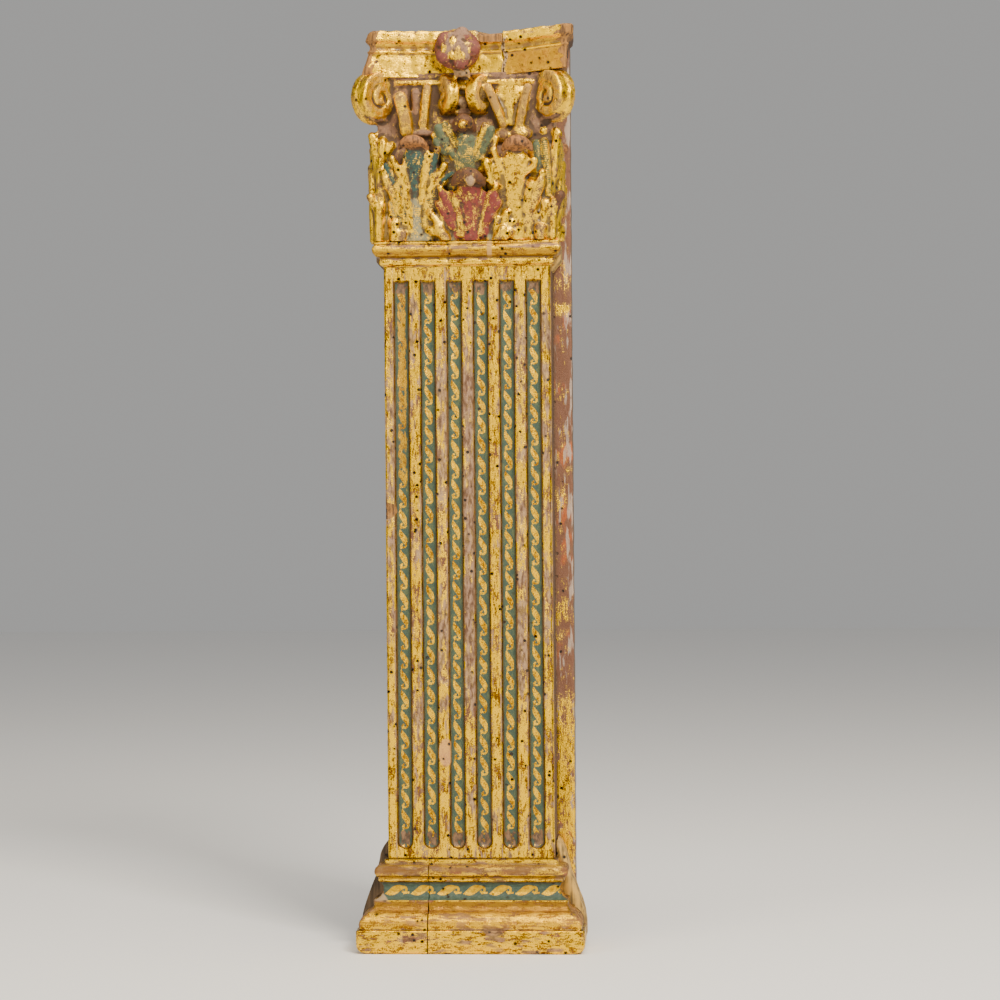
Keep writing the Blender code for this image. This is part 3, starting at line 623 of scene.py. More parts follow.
# %% Leaves
def carve_leaf(carving, lean, strokes, hood=None):
    """Strokes laid on a surface that leans out as a power of its height.

    lean is (height, how far the tip stands out). A stroke is (look, half-width, then x, height
    pairs in mm). hood is (look, x, height, half width, rise) of the curled tip, in mm.
    """
    height, tip_out = lean

    def at(x, z, lift):
        """A point of the leaning surface, which stands out with the 2.2th power of the height."""
        share = min(max(z, 0.0), height) / height
        return x, 0.0035 + (tip_out - 0.010) * share**2.2 + lift, z

    for look, half, *places in strokes:
        half = half * 0.001
        pairs = [(places[k] * 0.001, places[k + 1] * 0.001) for k in range(0, len(places), 2)]
        if len(pairs) == 1:
            carving.knob(at(*pairs[0], 0.6 * half), (half, half, half), look)
        elif half > 0.0055:
            # A web: a broad flat stroke that fills the blade between the ridges
            widths = (0.85 * half, 1.05 * half, 1.15 * half)
            carving.stroke([at(*pair, -0.0012) for pair in pairs], widths, look, 0.50)
        else:
            widths = (0.8 * half, half, 1.1 * half)
            carving.stroke([at(*pair, 0.62 * half) for pair in pairs], widths, look, 1.0)
    if hood:
        look, x, top, wide, rise = (v if isinstance(v, str) else v * 0.001 for v in hood)
        arch = [
            (x - wide, tip_out - 0.012, top - 2 * rise),
            (x - 0.6 * wide, tip_out, top + 0.3 * rise),
            (x + 0.6 * wide, tip_out, top + 0.3 * rise),
            (x + wide, tip_out - 0.012, top - 2 * rise),
        ]
        carving.stroke(arch, (0.35 * rise, 1.1 * rise, 0.35 * rise), look, 1.0)
        carving.knob((x, tip_out - 0.009, top - 0.9 * rise), (0.8 * wide, 0.006, 1.1 * rise), look)


RED_LEAF = (
    ("red", 8, -6, 2, -9, 24, -12, 46), ("red", 8, 6, 2, 8, 24, 11, 46),
    ("red", 9, 0, -4, 0, 25, 0, 50), ("red", 11, 0, 22, 0, 40, 0, 57),
    ("red", 9, -8, 2, -15, 20, -20, 36), ("red", 9, 8, 2, 14, 20, 18, 36),
    ("mist", 8, -17, -3, -24, 6, -28, 14), ("mist", 8, 17, -3, 24, 6, 28, 14),
    ("red hatch", 3.0, -9, 3, -8, 24, -14, 36, -18, 46),
    ("red hatch", 2.8, 8, 4, 11, 18, 15, 32, 19, 45), ("red", 4.4, -15, 17, -20, 34, -27, 46),
    ("gold", 3.4, -27, 48), ("red", 4.2, -15, 10, -24, 26, -30, 37),
    ("red", 4.0, 12, 14, 20, 30, 24, 44), ("gold", 3.3, 24, 48), ("red", 4.2, 15, 16, 21, 28, 28, 37),
    ("red", 6, -12, 6, -18, 22, -22, 34), ("red", 6, 12, 6, 18, 22, 21, 34),
    ("thin gold", 5.2, -20, -3, -27, 8, -32, 18), ("gold", 3.6, -20, 2, -30, 18, -37, 25),
    ("gold", 3.4, -37, 26), ("gold", 3.3, -22, 6, -25, 17, -27, 25), ("gold", 3.5, -27, 26),
    ("gold", 3.2, -24, 3, -34, 8, -41, 12), ("thin gold", 5.2, 22, -3, 28, 6, 32, 14),
    ("gold", 2.8, 23, 2, 23, 12, 25, 20), ("gold", 3.2, 25, 21), ("gold", 3.3, 26, 4, 31, 15, 33, 24),
    ("gold", 3.9, 33, 25), ("gold", 3.0, 28, 6, 36, 13, 39, 19), ("gold", 4.2, 27, 1, 35, 5, 40, 10),
)
TEAL_LEAF = (
    ("mist", 8, -9, -3, -14, 20, -20, 44), ("mist", 7, 8, -3, 13, 20, 18, 40),
    ("teal hatch", 7, -15, 38, -19, 52, -22, 66), ("mist", 8, 0, -4, -1, 20, 0, 44),
    ("teal", 8, 0, 30, 0, 56, 1, 80), ("teal", 12, 0, 60, 1, 72, 1, 86),
    ("teal hatch", 10, -8, 4, -13, 34, -18, 62), ("teal hatch", 9, 8, 8, 12, 34, 17, 62),
    ("teal hatch", 7, 16, 44, 22, 56, 26, 64), ("gold", 3.0, -5, 8, -6, 40, -12, 60, -22, 78),
    ("gold", 2.6, -5, 44, -9, 58, -12, 70), ("teal", 2.6, -11, 30, -20, 56, -28, 72),
    ("gold", 3.2, -11, 16, -14, 34, -17, 49), ("thin gold", 4.0, -20, 40, -25, 50, -29, 61),
    ("gold", 3.2, -29, 62), ("gold", 3.3, 5, 34, 8, 62, 14, 81), ("teal", 2.8, 8, 50, 17, 66, 21, 80),
    ("gold", 3.3, 21, 82), ("gold", 3.6, 11, 44, 21, 58, 26, 67), ("gold", 4.2, 27, 68),
    ("teal", 2.4, 8, 40, 21, 54, 35, 62), ("gold", 3.1, 13, 52, 16, 58, 17, 63),
    ("teal hatch", 6, -6, 2, -9, 20, -9, 40), ("teal hatch", 6, 6, 6, 8, 24, 8, 44),
    ("gold", 1.9, -1, 0, -1, 18, -1, 32),
)
GOLD_LEAF = (
    ("thin gold", 8, -5, 26, -9, 48, -14, 68), ("gold", 9, 0, -4, -2, 40, -3, 78),
    ("thin gold", 9, -8, 20, -16, 46, -22, 66), ("thin gold", 9, 8, 10, 12, 36, 15, 58),
    ("gold", 12, 0, 56, 0, 70, 0, 82), ("gold", 3.2, -12, 60, -17, 72, -20, 80),
    ("thin gold", 4.0, -20, 81), ("gold", 5.0, -13, 47, -25, 52, -28, 64, -26, 75),
    ("gold", 3.3, -20, 54, -30, 58, -33, 67), ("gold", 3.6, -15, 50, -19, 60, -20, 71),
    ("gold", 3.0, 4, 58, 14, 65, 19, 69), ("gold", 2.6, 20, 70, 17, 73, 13, 73),
    ("thin gold", 5.0, 12, 26, 20, 42, 23, 58), ("gold", 4.0, 24, 61),
    ("gold", 4.0, 9, 24, 9, 40, 15, 55), ("gold", 2.4, -6, 2, -7, 20, -8, 48),
    ("gold", 2.6, -3, 54, -9, 66, -10, 76), ("gold", 2.4, 4, 30, 5, 50, 5, 72),
)
HIGH_LEAF = (
    ("mist", 9, -5, 52, -10, 76, -15, 98), ("mist", 9, 5, 52, 10, 76, 14, 98),
    ("grey green", 12, 0, 30, 0, 70, 0, 100), ("grey green", 8, -8, 74, -16, 88, -20, 100),
    ("grey green", 8, 8, 74, 15, 88, 18, 100), ("grey green", 8, -10, 44, -14, 66, -16, 86),
    ("grey green", 8, 10, 44, 14, 66, 16, 86), ("mist", 5.8, 0, 60, 0, 80, 0, 101),
    ("green hatch", 3.6, -5, 82, -13, 95, -20, 109), ("grey green", 4.4, -9, 74, -20, 90, -26, 106),
    ("grey green", 4.2, -17, 78, -26, 88, -28, 94), ("gold", 3.2, -29, 96),
    ("gold", 3.0, 9, 82, 15, 95, 19, 107), ("grey green", 4.2, 10, 72, 20, 88, 25, 104),
    ("gold", 3.2, 21, 78, 26, 85, 28, 91), ("gold", 3.6, 28, 92),
    ("green hatch", 3.0, 3, 66, 8, 80, 13, 92),
)
LEFT_LOW = (
    ("thin gold", 9, 8, -3, 8, 12, 6, 26), ("thin gold", 8, 20, -3, 20, 4, 20, 10),
    ("gold", 5.0, -3, -3, -2, 18, -1, 32, -1, 39), ("thin gold", 2.9, -5, 30, -9, 38, -11, 45),
    ("gold", 5.4, 12, -3, 13, 12, 12, 22), ("thin gold", 5.4, 16, -3, 19, 6, 20, 12),
    ("gold", 3.2, 9, 29), ("gold", 3.3, 14, 28), ("gold", 3.0, 18, 22), ("gold", 3.4, 22, 16),
    ("gold", 3.4, 24, 9), ("gold", 2.4, 4, 4, 7, 18, 9, 28),
)
RIGHT_LOW = (
    ("thin gold", 9, -6, -3, -5, 14, -3, 34), ("thin gold", 8, -18, -3, -18, 6, -17, 14),
    ("gold", 3.0, 2, -3, 3, 20, 3, 36), ("gold", 3.6, -6, 18, -5, 30, -4, 38),
    ("thin gold", 5.4, -9, -3, -10, 8, -9, 16), ("gold", 3.4, -12, 24), ("gold", 3.4, -6, 18),
    ("gold", 2.4, -19, 2, -20, 9, -21, 16), ("gold", 2.6, -14, 4, -14, 14, -12, 22),
    ("gold", 3.0, -4, 2, -4, 10, -5, 16), ("thin gold", 4.4, 0, 20, 3, 32, 5, 40),
)
LEFT_HIGH = (
    ("thin gold", 7, 4, 40, 5, 60, 6, 82), ("teal hatch", 6, 12, 30, 13, 42, 14, 54),
    ("gold", 4.4, 0, 56, 1, 74, 2, 96), ("gold", 3.3, 1, 74, 5, 82, 12, 91),
    ("gold", 2.6, -3, 80, -5, 92, -6, 101), ("thin gold", 4.4, 3, 46, 8, 54, 10, 62),
    ("thin gold", 5.4, 0, 30, 0, 50, 1, 70),
)
RIGHT_HIGH = (
    ("grey green", 10, -4, 30, -6, 66, -9, 92), ("green hatch", 7, -12, 46, -14, 66, -14, 88),
    ("green hatch", 4.2, -1, 40, -3, 68, -6, 93), ("gold", 3.0, -6, 100),
    ("gold", 2.6, -10, 50, -15, 70, -18, 84), ("grey green", 4.0, -9, 56, -12, 80, -13, 92),
    ("gold", 3.2, 3, 94, 6, 99, 8, 103), ("thin gold", 3.2, 4, 56, 5, 70, 5, 88),
)

print("the red leaf has", len(RED_LEAF), "strokes and the teal one", len(TEAL_LEAF))

# %% [markdown]
# ## Scrolls
# The corner volutes and the inner helices are discs with a broad spiral band. The band comes up from
# its stem, goes over the top and round the rim, then winds in to an eye.


# %% Volutes and helices
def carve_scroll(carving, radius, thick, inward, rim):
    """A drum, a rim band (look, place and half-width as shares of thick), and a spiral band."""
    angle = np.arange(28) * math.tau / 28
    drum = np.stack([0.90 * radius * np.cos(angle), 0 * angle, 0.90 * radius * np.sin(angle)], -1)
    levels = np.array([-0.40, 0.30])[:, None, None] * thick * np.array([0, 1, 0])
    carving.add(drum + levels, ring_faces(2, 28), "ground")

    turns = np.linspace(0, 1.9, 120)
    reach = radius * np.interp(turns, (0, 0.6, 1.0, 1.9), (0.73, 0.72, 0.40, 0.15))
    half = radius * np.interp(turns, (0, 0.6, 1.0, 1.9), (0.23, 0.23, 0.14, 0.10))
    turn = math.tau * turns
    centre = np.stack([inward * reach * np.cos(turn), 0 * turns + 0.12 * thick, reach * np.sin(turn)], -1)
    carving.bar(centre, half, "cream", 0.36 * thick, square=0.35)
    around = np.linspace(-2.5, 2.5, 60)
    hoop = 0.91 * radius * np.stack([-inward * np.cos(around), 0 * around, np.sin(around)], -1)
    look, place, wide = rim
    carving.bar(hoop + [0, place * thick, 0], np.full(60, 0.09 * radius), look, wide * thick, square=0.4)
    carving.knob((0, 0, 0), (0.16 * radius, 0.52 * thick, 0.16 * radius), "gold")


# %% [markdown]
# ## The whole capital
# The forms are set out from the middle line: the bell, then a row of low leaves, a row of tall ones,
# the middle and corner leaves between them, the scrolls, and the flower on the abacus.

# %% Setting out the capital
carving = Carving()


def carve_bell(side):
    """Half the bell: rectangles that widen with the cube of the height and lean out with its square."""
    share = np.linspace(0, 1, 12)[:, None]
    half = 0.079 + 0.006 * share**3
    front = -0.004 - 0.010 * share**2
    height = CAPITAL_FOOT - 0.01 + (ABACUS_FOOT + 0.014 - CAPITAL_FOOT) * share
    x = side * half * np.array([0, 1, 1, 0]) - side * 0.001 * np.array([1, 0, 0, 1])
    deep = BLOCK_BACK_Y + 0.01 - FRONT_Y
    y = np.where(np.array([1, 1, 0, 0]), deep, front)
    carving.stand((0, 0, 0), 0)
    carving.add(np.stack([x, -y, height + 0 * x], -1), ring_faces(12, 4), "ground")


carve_bell(-1)
carve_bell(1)
carving.stand((0, 0, 0), 0)
carving.stroke([(0.043, 0.0118, 0.758), (0.043, 0.0130, 0.799)], (0.013, 0.016, 0.019), "gold", 0.12)
lip = [(-0.064, 0.014, 0.799), (0, 0.013, 0.799), (0.064, 0.014, 0.799)]
carving.stroke(lip, (0.0017,) * 3, "gold", 1.0)
carving.stand((0.0010, 0.001, CAPITAL_FOOT), 0)
carve_leaf(carving, (0.113, 0.029), HIGH_LEAF, ("brown wood", -1, 110, 9.5, 5.6))
carving.knob((-0.001, 0.0335, 0.1035), (0.0052, 0.0048, 0.0040), "gold")
carving.stand((0.0045, 0.003, CAPITAL_FOOT), 0)
carve_leaf(carving, (0.063, 0.029), RED_LEAF, ("brown wood", -1, 60.5, 15, 6.0))
tongue = [(0.001, 0.025, 0.060), (0.0015, 0.030, 0.056), (0.0015, 0.027, 0.047)]
carving.stroke(tongue, (0.0035, 0.0045, 0.0038), "pale", 1.0)

for side, tall_leaf, hood, low_leaf, high_leaf in (
    (-1, TEAL_LEAF, ("ochre wood", -1, 92, 13.5, 4.6), LEFT_LOW, LEFT_HIGH),
    (1, GOLD_LEAF, ("ochre wood", 1.5, 90, 14, 5.2), RIGHT_LOW, RIGHT_HIGH),
):
    carving.stand((side * 0.0465 + 0.0008, 0.002, CAPITAL_FOOT), 0)
    carve_leaf(carving, (0.093, 0.031), tall_leaf, hood)
    # A corner leaf wraps round: one half is on the front and its mirror image on the side
    for turn, mirror, place in (
        (0.0, 1, (side * 0.078, 0.0, CAPITAL_FOOT)),
        (side * math.pi / 2, -1, (side * 0.079, -0.003, CAPITAL_FOOT)),
    ):
        carving.stand(place, turn, mirror)
        reach = 0.014 if turn == 0 else 0.010
        carve_leaf(carving, (0.056, reach), low_leaf)
        carve_leaf(carving, (0.106, reach), high_leaf)
    carving.stand((side * 0.077, 0.0, CAPITAL_FOOT), side * math.pi / 4)
    curl = "gold" if side < 0 else "brown wood"
    size = 0.0042 if side < 0 else 0.0062
    low_curl = [(0, 0.002, 0.020), (0, 0.010, 0.036), (0, 0.018, 0.044)]
    carving.stroke(low_curl, (0.004, 0.0045, size), curl, 0.9)
    high_curl = [(0, 0.002, 0.050), (0, 0.008, 0.084), (0, 0.014, 0.101)]
    carving.stroke(high_curl, (0.005, 0.005, 0.0042), "gold", 0.9)
    carving.stand((side * 0.079, -0.036, CAPITAL_FOOT), side * math.pi / 2, side)
    carve_leaf(carving, (0.095, 0.013), GOLD_LEAF, ("ochre wood", 0, 90, 12, 4.5))

    carving.stand((side * 0.0810 - 0.0006, 0.0135, CAPITAL_FOOT + 0.1315), -side * math.radians(48))
    carve_scroll(carving, 0.0242, 0.0195, -side, ("cream", -0.27, 0.20))
    carving.stand((side * 0.0155 - 0.0010, 0.0135, CAPITAL_FOOT + 0.1335), side * math.radians(62))
    carve_scroll(carving, 0.0180, 0.0125, side, ("gold", -0.06, 0.42))

# Stems from behind the tall leaves to the scrolls: two heavy ones and three thin ones
STEMS = (
    ((-0.0530, 0.010, 0.750), (-0.0545, 0.021, 0.772), (-0.0600, 0.024, 0.7900), 0.0064, "cream"),
    ((0.0490, 0.008, 0.752), (0.0530, 0.020, 0.774), (0.0600, 0.024, 0.7960), 0.0043, "cream"),
    ((-0.0445, 0.006, 0.752), (-0.0450, 0.012, 0.772), (-0.0450, 0.013, 0.794), 0.0040, "ground"),
    ((-0.0385, 0.008, 0.754), (-0.0365, 0.016, 0.776), (-0.0335, 0.017, 0.797), 0.0042, "cream"),
    ((0.0360, 0.008, 0.757), (0.0300, 0.020, 0.776), (0.0200, 0.020, 0.797), 0.0042, "cream"),
)
carving.stand((0, 0, 0), 0)
for *path, half, look in STEMS:
    carving.stroke(path, (half, half, half), look, 1.0, square=0.7)
tie = [(-0.052, 0.012, 0.752), (-0.040, 0.013, 0.754), (-0.028, 0.012, 0.752)]
carving.stroke(tie, (0.003,) * 3, "ground", 0.8)
carving.knob((0.052, 0.010, 0.752), (0.010, 0.007, 0.007), "thin gold")
carving.knob((0.034, 0.009, 0.750), (0.009, 0.006, 0.006), "thin gold")

# %% [markdown]
# ## The flower on the abacus
# A rosette marks the middle of the abacus. On the real piece its petals swirl, worn almost to a ball,
# with gold left in the pits between them. A short stem of rounded forms carries it.


# %% Flower and stem
def carve_flower(centre, radii):
    """A ball with broad swirling ridges from the middle of its front, and gilt pits between them."""
    carving.stand(centre, 0)
    carving.knob((0, 0, 0), radii, "rose", 24, 30)

    def on_ball(angle, share, lift):
        """A point of the ball's front: share is its distance from the middle, from 0 to 1."""
        unit = [share * math.sin(angle), math.sqrt(1 - share**2), share * math.cos(angle)]
        return tuple(np.array(radii) * unit + [0, lift, 0])

    for k, look in enumerate(("dusty", "rose", "rose", "rose", "rose")):
        angle = math.tau * k / 5 + math.radians(20)
        carving.knob(on_ball(angle, 0.66, -0.0026), (0.0080, 0.0062, 0.0080), look)

    def ridge(look, half, *places):
        """A bar over the ball through (x, height) pairs in mm from its middle."""
        pairs = np.array(places, float).reshape(-1, 2) * 0.001
        shares = np.hypot(pairs[:, 0] / radii[0], pairs[:, 1] / radii[2])
        path = [on_ball(math.atan2(x, z), share, 0.0006) for (x, z), share in zip(pairs, shares)]
        carving.stroke(path, (half, half, half), look, 0.9)

    for turn in (0, math.pi):
        bend = [(-3 + 7 * math.sin(turn + t), 6 + 8 * math.cos(turn + t)) for t in (0, 1.1, 2.1, math.pi)]
        ridge("dusty", 0.0023, *np.ravel(bend))
    ridge("dusty", 0.0024, -5, 0, -9, -4, -10, -9, -14, -11)
    ridge("cream", 0.0026, 0, 1, 3, -4, 0, -10, 1, -16)
    ridge("dusty", 0.0028, 2, 4, 7, 1, 9, -4, 8, -13)
    ridge("rose", 0.0030, 3, 12, 8, 11, 12, 7)
    ridge("cream", 0.0022, 8, 3, 12, 3, 16, -3)
    for x, z in ((-3, 6), (-11, -2), (-4, -7), (5, -8), (12, -2)):
        share = math.hypot(x / 1000 / radii[0], z / 1000 / radii[2])
        carving.knob(on_ball(math.atan2(x, z), share, 0.0002), (0.0028, 0.0026, 0.0038), "gold")


carve_flower((-0.0052, 0.024, 0.8275), (0.0213, 0.0135, 0.0188))
carving.stand((-0.0016, 0, 0), 0)
for look, end, middle, thick, *path in (
    ("pale", 0.0035, 0.0045, 0.9, (-0.007, 0.020, 0.806), (0, 0.026, 0.807), (0.007, 0.020, 0.806)),
    ("thin gold", 0.0028, 0.0028, 1.0, (-0.006, 0.017, 0.7935), (0, 0.020, 0.7935), (0.006, 0.017, 0.7935)),
    ("pale", 0.0054, 0.0054, 1.0, (0, 0.008, 0.7800), (0, 0.014, 0.7805), (0, 0.021, 0.7810)),
):
    carving.stroke(path, (end, middle, end), look, thick)
carving.knob((0, 0.008, 0.789), (0.010, 0.0065, 0.018), "thin gold")
roll = [(-0.008, 0.010, 0.772), (0, 0.014, 0.772), (0.008, 0.010, 0.772)]
carving.stroke(roll, (0.0035,) * 3, "ground", 1.0)
print("strokes hold", carving.count, "points")

# %% [markdown]
# ## One skin
# The voxel remesh keeps only the outside of all the strokes. Points that fall below the capital's
# foot or behind its back are moved on to those planes, so it stays flat where it meets its neighbours.

# %% Fusing the strokes
VOXEL = 0.0014


def settle(piece):
    """Replaces a piece's mesh with what its modifiers make of it."""
    graph = bpy.context.evaluated_depsgraph_get()
    made = piece.evaluated_get(graph)
    mesh = bpy.data.meshes.new_from_object(made, preserve_all_data_layers=True, depsgraph=graph)
    piece.modifiers.clear()
    piece.data = mesh
    return mesh


def fuse(name, carving):
    """One skin round all strokes, which takes the finish of the nearest stroke at each point."""
    finishes = {"paint": np.concatenate(carving.paint), "work": np.concatenate(carving.work)}
    source = make_piece(name + "_strokes", np.concatenate(carving.points), carving.faces, finishes)
    skin = bpy.data.objects.new(name, source.data.copy())
    bpy.context.scene.collection.objects.link(skin)
    remesh = skin.modifiers.new("Fuse", "REMESH")
    remesh.mode = "VOXEL"
    remesh.voxel_size = VOXEL
    remesh.use_smooth_shade = True
    ease = skin.modifiers.new("Ease", "SMOOTH")
    ease.iterations = 2
    mesh = settle(skin)
    for key in finishes:
        if key not in mesh.attributes:
            mesh.attributes.new(key, "FLOAT_COLOR", "POINT")
    carry = skin.modifiers.new("Carry finishes", "DATA_TRANSFER")
    carry.object = source
    carry.use_vert_data = True
    carry.data_types_verts = {"COLOR_VERTEX"}
    carry.vert_mapping = "POLYINTERP_NEAREST"
    mesh = settle(skin)
    bpy.data.objects.remove(source)
    points = read(mesh, mesh.vertices, "co", 3)
    points[:, 1] = np.minimum(points[:, 1], BLOCK_BACK_Y)
    points[:, 2] = np.maximum(points[:, 2], CAPITAL_FOOT)
    mesh.vertices.foreach_set("co", points.ravel())
    paint = read(mesh, mesh.attributes["paint"].data, "color", 4)
    print(name, "has", len(mesh.polygons), "faces, mean finish", paint.mean(axis=0).round(2))
    return skin


capital = age(fuse("capital_carving", carving), 0.00015, 0.01, 51, passes=8)
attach(capital, "root")
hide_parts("capital")

# %% [markdown]
# ## Writing finishes as sums
# A finish is a sum of masks: where the gold is rubbed, where a worm came out, where the scroll runs.
# A small class wraps a shader socket, so such a sum can be written as plain arithmetic, and each
# operator adds its Math node.


# %% Arithmetic on shader sockets
class Value:
    """A number that changes over the surface. Arithmetic on it adds Math nodes."""

    def __init__(self, finish, socket):
        self.finish, self.socket = finish, socket

    def math(self, operation, *others):
        """Adds one Math node that takes this value and the others."""
        inputs = dict(enumerate((self, *others)))
        return self.finish.add("ShaderNodeMath", {"operation": operation}, inputs)

    def __add__(self, other):
        return self.math("ADD", other)

    def __sub__(self, other):
        return self.math("SUBTRACT", other)

    def __mul__(self, other):
        return self.math("MULTIPLY", other)

    def __truediv__(self, other):
        return self.math("DIVIDE", other)

    def __rsub__(self, other):
        return self.finish.add("ShaderNodeMath", {"operation": "SUBTRACT"}, {0: other, 1: self})

    def __abs__(self):
        return self.math("ABSOLUTE")

    __radd__, __rmul__ = __add__, __mul__

    def squared(self):
        return self * self

    def rise(self, start, stop):
        """Goes smoothly from 0 at start to 1 at stop, or from 1 to 0 where stop is the lower one."""
        low, high = (0.0, 1.0) if start < stop else (1.0, 0.0)
        inputs = {"Value": self, "From Min": min(start, stop), "From Max": max(start, stop)}
        inputs |= {"To Min": low, "To Max": high}
        return self.finish.add("ShaderNodeMapRange", {"interpolation_type": "SMOOTHSTEP"}, inputs)

    def near(self, centre, reach):
        """1 at the centre, falling smoothly to 0 at the reach on both sides."""
        return abs(self - centre).rise(reach, 0.0)


class Finish:
    """A material, with methods that add its nodes."""

    def __init__(self, name):
        self.material = bpy.data.materials.new(name)
        self.material.use_nodes = True
        self.tree = self.material.node_tree
        self.surface = self.tree.nodes["Principled BSDF"]
        self.place = self.add("ShaderNodeTexCoord", output="Object")
        self.x, self.y, self.z = self.parts("ShaderNodeSeparateXYZ", self.place)

    def parts(self, kind, value):
        """The three parts of a vector or a colour."""
        return [self.add(kind, inputs={0: value}, output=k) for k in range(3)]

    def add(self, kind, settings=None, inputs=None, output=0):
        """Adds a node, links its varying inputs and sets its constant ones."""
        node = self.tree.nodes.new(kind)
        for key, value in (settings or {}).items():
            setattr(node, key, value)
        for key, value in (inputs or {}).items():
            if isinstance(value, Value):
                self.tree.links.new(value.socket, node.inputs[key])
            else:
                node.inputs[key].default_value = value
        return Value(self, node.outputs[output])

    def mix(self, first, second, share):
        """Goes from the first colour to the second as share goes from 0 to 1."""
        first, second = ((*c, 1.0) if isinstance(c, tuple) else c for c in (first, second))
        return self.add("ShaderNodeMix", {"data_type": "RGBA"}, {0: share, 6: first, 7: second}, output=2)

    def noise(self, size, stretch=(1, 1, 1), detail=3.0, shift=0.0):
        """Cloudy noise in 0..1 whose lumps are about `size` metres, longer where stretch is below 1."""
        settings = {"Location": (shift, shift, shift), "Scale": tuple(s / size for s in stretch)}
        place = self.add("ShaderNodeMapping", inputs={"Vector": self.place} | settings)
        return self.add("ShaderNodeTexNoise", inputs={"Vector": place, "Scale": 1.0, "Detail": detail})

    def cells(self, size):
        """Distance in metres to the nearest of many scattered points, about `size` apart."""
        return self.add("ShaderNodeTexVoronoi", inputs={"Vector": self.place, "Scale": 1 / size}) * size

    def stored(self, name, output="Fac"):
        """A value that was stored on the points."""
        return self.add("ShaderNodeAttribute", {"attribute_name": name}, output=output)

    def finish(self, colour, roughness, metallic, height):
        """Joins the four results to the shader. The height becomes a bump 0.6 mm deep."""
        bump = self.add("ShaderNodeBump", inputs={"Strength": 0.8, "Distance": 0.0006, "Height": height})
        links = {"Base Color": colour, "Roughness": roughness, "Metallic": metallic, "Normal": bump}
        for key, value in links.items():
            self.tree.links.new(value.socket, self.surface.inputs[key])
        print(self.material.name, "has", len(self.tree.nodes), "nodes")
        return self.material


# %% [markdown]
# ## Rubbed gold
# A gilder laid leaf over red-brown bole on white gesso. Rubbing takes the leaf off raised edges and in
# soft patches, and leaves fine scratches along the grain. Dirt stays in the hollows, and painted shade
# darkens them too. So the gold's share at a point is a sum: how much leaf this place kept, plus noise
# at four sizes, less wear on proud edges. Where the sum is high there is leaf, and elsewhere the
# ground shows.

# %% Gold over a ground
BRIGHT_GOLD = (1.0, 0.60, 0.0)
DEEP_GOLD = (0.17, 0.062, 0.0)
BOLE = (0.120, 0.043, 0.019)
GESSO = (0.36, 0.225, 0.115)
# Dark brown for dirt, and for painted shade in hollows and recesses
DIRT_AND_SHADE = (0.040, 0.018, 0.005)
TEAL = (0.032, 0.062, 0.042)
RAW_OCHRE = (0.33, 0.150, 0.030)
RAW_BROWN = (0.095, 0.046, 0.020)


def rubbed_gold(f, leaf, ground, grain, dirt_and_shade_share=1.0, clean=0.0):
    """Colour, roughness, metallic and height of leaf over a ground. grain stretches the scratches."""
    hollow = f.stored("hollow")
    cloud = f.noise(0.020, detail=4.0)
    patch = f.noise(0.006, tuple(g**0.5 for g in grain), 5.0, 3.1)
    scratch = f.noise(0.0016, grain, 3.0, 7.7)
    speck = f.noise(0.0011, (1, 1, 1), 2.0, 5.5)
    proud = hollow.rise(-0.2, -1.2)
    deep = hollow.rise(0.05, 0.9)
    score = leaf + (cloud - 0.5) * 0.9 + (patch - 0.5) * 1.1 + (scratch - 0.5) * 0.9 + (speck - 0.5) * 0.9
    score = score - proud * 0.15
    gold = score.rise(0.38, 0.46)
    tone = (patch * 0.9 + scratch * 0.9 + speck * 0.8 - 0.77 + clean).rise(0.36, 0.60)
    leaf_colour = f.mix(DEEP_GOLD, BRIGHT_GOLD, tone)
    thin = f.mix(ground, leaf_colour, score.rise(0.20, 0.42) * 0.35)
    colour = f.mix(thin, leaf_colour, gold)
    # Dirt and painted shade: the hollows go dark as if shade fell in them, and random specks add dirt
    dirt_and_shade = (deep * (1.1 + (patch - 0.5) * 1.5) + speck.rise(0.40, 0.30) * 0.5) * dirt_and_shade_share
    dirt_and_shade = dirt_and_shade.rise(0.05, 1.0)
    colour = f.mix(colour, DIRT_AND_SHADE, dirt_and_shade * 0.88)
    metallic = gold * (1.0 - dirt_and_shade)
    roughness = 0.72 - gold * 0.40 + (scratch - 0.5) * 0.3
    height = gold * 0.12 + scratch * 0.6 + patch * 0.9 + speck * 0.7
    return colour, roughness, metallic, height


def ground_coat(f, shift=0.0, pale=0.0):
    """Bole rubbed thin over gesso."""
    share = f.noise(0.006, (1, 1, 0.4), 5.0, 11.0 + shift) + pale
    return f.mix(BOLE, GESSO, share.rise(0.42, 0.64))


def shade(f, colour, metallic, tint, share, dull=0.4):
    """Darkens and dulls gold: painted shade in hollows and undersides, old dust on other bands."""
    return f.mix(colour, tint, share), metallic * (1.0 - share * dull)


def pierce(f, colour, height, spacing=0.0088, more=0.0):
    """Woodworm exit holes: small spheres in the wood where the surface cuts them, dark with painted shade.

    They stand about `spacing` apart, in clouds of 45 mm, and there are more where `more` is high.
    """
    radius = 0.0015
    crowd = f.noise(0.045, detail=1.0, shift=5.0) + more
    cell = f.cells(spacing)
    hole = cell.rise(radius, 0.75 * radius) * crowd.rise(0.40, 0.50)
    rim = cell.rise(1.7 * radius, radius) * crowd.rise(0.40, 0.50)
    # A ring of dust and painted shade round each hole
    colour = f.mix(colour, DIRT_AND_SHADE, rim * 0.35)
    # Painted shade: near black inside each hole
    return f.mix(colour, (0.012, 0.005, 0.002), hole), height - hole * 3.0


